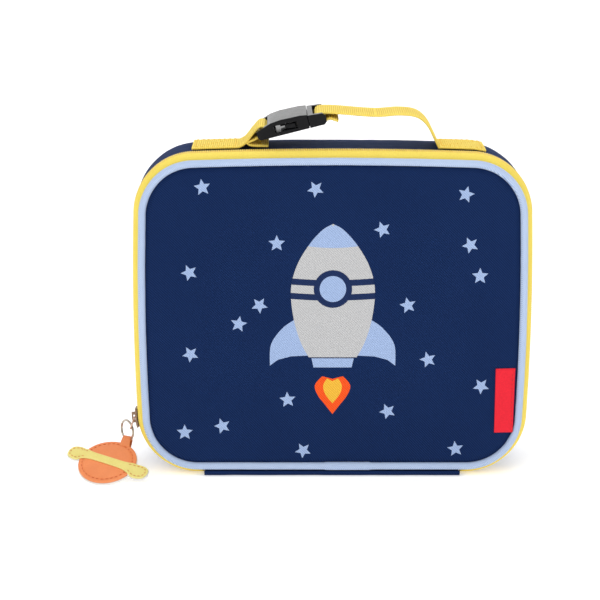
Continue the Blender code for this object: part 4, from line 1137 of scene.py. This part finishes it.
def layer(name, edge, low, levels, face, mat):
    """Leatherette layer: a square cut edge, a rounded rim, and a face that follows `face`."""
    rings = [[charm_point(x, y, face(x, y) + low) for x, y in edge]]
    for inset, rise in levels:
        rings.append([charm_point(x, y, face(x, y) + rise) for x, y in offset_edge(edge, inset)])
    return skin(name, rings, mat)


def band_half():
    """Upper edge of the ring-shaped band, left tip to right tip."""
    left = [(-27.0, 0.0), (-26.0, 3.3), (-23.0, 4.9), (-19.4, 5.1), (-15.8, 4.0), (-12.0, 3.1),
            (-8.0, 2.8)]
    return spline(left + [(0.0, 2.75)] + [(-x, y) for x, y in reversed(left)], 5)


def band_edge(grow=0.0):
    """Closed outline of the band, anticlockwise."""
    top = band_half()
    edge = [(x, -y) for x, y in top[:-1]] + [(-x, y) for x, y in top[:-1]]
    c, s = math.cos(BAND_TURN), math.sin(BAND_TURN)
    return offset_edge([(x * c - y * s, x * s + y * c) for x, y in edge], -grow)


def band_lie(x, y):
    """The band rests on the planet and drops towards the backing beyond it."""
    beyond = max(0.0, math.hypot(x, y) - DISC_R + 1.2)
    return planet_top(x, y) + 0.05 - 1.15 * min(1.0, beyond / 3.0)


def charm():
    flat = lambda x, y: 0.0
    planet = layer("charm_planet_face", disc(0, 0, DISC_R - 0.35, 72), -1.15, [
        (0.0, -0.25), (0.22, -0.06), (0.7, 0.0), (1.6, -0.04), (2.0, -0.20), (2.4, -0.20),
        (2.8, -0.04), (4.0, 0.05), (7.0, 0.05), (11.0, 0.05), (14.0, 0.05)], planet_top, ORANGE)
    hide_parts("charm_planet")
    backing = layer("charm_backing_disc", disc(0, 0, DISC_R + 0.1, 72), -1.2, [
        (0.0, -0.3), (0.3, -0.1), (6.0, -0.1), (12.0, -0.1)], flat, BACKING)
    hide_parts("charm_backing")
    wings = layer("charm_band_backing", band_edge(0.35), -1.0,
                  [(0.0, -0.2), (0.25, -0.05), (1.4, -0.05)],
                  lambda x, y: band_lie(x, y) - 0.1 if math.hypot(x, y) > DISC_R - 0.5 else -0.15,
                  BACKING)
    band = layer("charm_band_strip", band_edge(), 0.0, [
        (0.0, 0.55), (0.2, 0.72), (0.6, 0.78), (1.0, 0.76), (1.3, 0.64), (1.6, 0.64), (1.9, 0.76),
        (2.3, 0.80)], band_lie, BAND)
    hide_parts("charm_band")
    rim = [tuple(charm_point(x, y, planet_top(x, y) - 0.12))
           for x, y in disc(0, 0, DISC_R - 2.55, 120)]
    rim.append(rim[0])
    planet_seam = stitches("charm_planet_stitches", rim, lambda p: CZ, 1.7 * MM, 1.1 * MM,
                           0.20 * MM, ORANGE_THREAD)
    seams = []
    for side in (-1, 1):
        lobe = [p for p in offset_edge(band_edge(), 1.45) if p[0] * side > 13.2]
        lobe.sort(key=lambda p: -math.atan2(p[1] + side * 5.0, (p[0] - side * 19.0) * side))
        run = [tuple(charm_point(x, y, band_lie(x, y) + 0.70)) for x, y in lobe]
        name = "charm_band_stitches_left" if side < 0 else "charm_band_stitches_right"
        seams.append(stitches(name, run, lambda p: CZ, 1.6 * MM, 0.9 * MM, 0.18 * MM,
                              ORANGE_THREAD))
    for piece in [planet, backing, wings, band, planet_seam, charm_loop()] + seams:
        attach(piece, "charm")


def charm_loop():
    """Leatherette tab that folds over the split ring and is caught under the planet."""
    ring_way = Vector(JOINTS["charm_swing"]["axis"]).normalized()
    if ring_way.dot(CX) < 0:
        ring_way = -ring_way
    fold_r, thick, half_w = 1.95, 0.9, 2.9
    x0, y0 = TAB_AT
    line = [(13.6, 1.0, 0.0), (16.0, 1.75, 0.1), (19.0, 1.8, 0.5)]
    for i in range(11):
        a = math.radians(90 - 180 * i / 10)
        line.append((y0 + fold_r * math.cos(a), fold_r * math.sin(a), 1.0))
    line += [(19.0, -1.75, 0.5), (15.5, -1.70, 0.1), (12.5, -1.65, 0.0)]
    pts = spline(line, 4)
    lower = [(-1, -0.5), (-0.95, -1), (-0.5, -1), (0, -1), (0.5, -1), (0.95, -1), (1, -0.5)]
    section = lower + [(p, -q) for p, q in reversed(lower)]
    rings = []
    for i, (y, z, w) in enumerate(pts):
        a, b = pts[max(i - 1, 0)], pts[min(i + 1, len(pts) - 1)]
        side = (CX * (1 - 0.5 * w) + ring_way * 0.5 * w).normalized()
        t = (CY * (b[0] - a[0]) + CZ * (b[1] - a[1])).normalized()
        n = side.cross(t).normalized()
        mid = charm_point(x0, y, z)
        rings.append([mid + (side * half_w * p + n * thick / 2 * q) * MM for p, q in section])
    return skin("charm_loop_strip", rings, ORANGE)


charm()


# ---- floor, light and camera --------------------------------------------------------------
LIT_POINT = Vector((0, 0, 0.09))
LIGHTS = [  # name, place, size in metres, power in watts
    ("key", (-0.50, -1.10, 0.95), 0.9, 5.3), ("fill", (0.95, -1.0, 0.75), 1.0, 2.7),
    ("top", (0.05, 0.25, 1.35), 1.3, 4.4)]
FLOOR_HALF = 5.0
FLOOR_GAP = 0.0002      # the floor lies this far under the bag
FLOOR_GLOW = 0.36
CAMERA_X, CAMERA_DISTANCE, CAMERA_Z = -0.0188, 0.90, 0.3009
CAMERA_DIP = 12.215     # degrees below level
CAMERA_LENS, SENSOR = 96.5, 36


def sky():
    """White studio overhead, falling to dark towards the front where the room is unlit."""
    world = bpy.data.worlds.new("studio_world")
    world.use_nodes = True
    nodes, links = world.node_tree.nodes, world.node_tree.links
    coord = nodes.new("ShaderNodeTexCoord")
    split = nodes.new("ShaderNodeSeparateXYZ")
    links.new(coord.outputs["Generated"], split.inputs["Vector"])
    ramp = nodes.new("ShaderNodeMapRange")
    ramp.interpolation_type = "SMOOTHSTEP"
    links.new(split.outputs["Z"], ramp.inputs["Value"])
    for socket, value in (("From Min", 0.0), ("From Max", 0.55), ("To Min", 0.10),
                          ("To Max", 0.75)):
        ramp.inputs[socket].default_value = value
    back = nodes["Background"]
    back.inputs["Color"].default_value = (1.0, 1.0, 1.0, 1.0)
    links.new(ramp.outputs["Result"], back.inputs["Strength"])
    return world


def studio():
    s = Shader("pale_floor", 0.95)
    s.colour(s.mix(s.noise(0.004, 2.0), (0.93, 0.93, 0.93), (0.95, 0.95, 0.95)))
    s.matt(0.0)
    s.bsdf.inputs["Emission Color"].default_value = (1.0, 1.0, 1.0, 1.0)
    s.bsdf.inputs["Emission Strength"].default_value = FLOOR_GLOW
    rings = []
    profile = [(-FLOOR_HALF, 0.0), (0.9, 0.0), (1.25, 0.05), (1.5, 0.22), (1.62, 0.5), (1.66, 2.2)]
    curve = [profile[0]] + spline(profile[1:], 6)
    for x in (-FLOOR_HALF, FLOOR_HALF):
        rings.append([Vector((x, y, z - FLOOR_GAP)) for y, z in curve])
    skin("studio_floor", rings, s.mat, closed_section=False)
    bpy.context.scene.world = sky()
    for name, place, size, power in LIGHTS:
        data = bpy.data.lights.new(name, "AREA")
        data.shape = "DISK"
        data.size = size
        data.energy = power
        obj = link(name, data)
        obj.location = place
        obj.rotation_euler = (LIT_POINT - Vector(place)).to_track_quat("-Z", "Y").to_euler()


def camera():
    data = bpy.data.cameras.new("camera")
    data.lens = CAMERA_LENS
    data.sensor_width = SENSOR
    data.dof.use_dof = False
    obj = link("camera", data)
    obj.location = (CAMERA_X, FRONT - CAMERA_DISTANCE, CAMERA_Z)
    obj.rotation_euler = (math.radians(90 - CAMERA_DIP), 0, 0)
    bpy.context.scene.camera = obj


studio()
camera()
scene = bpy.context.scene
scene.view_settings.view_transform = "Standard"
scene.view_settings.look = "None"
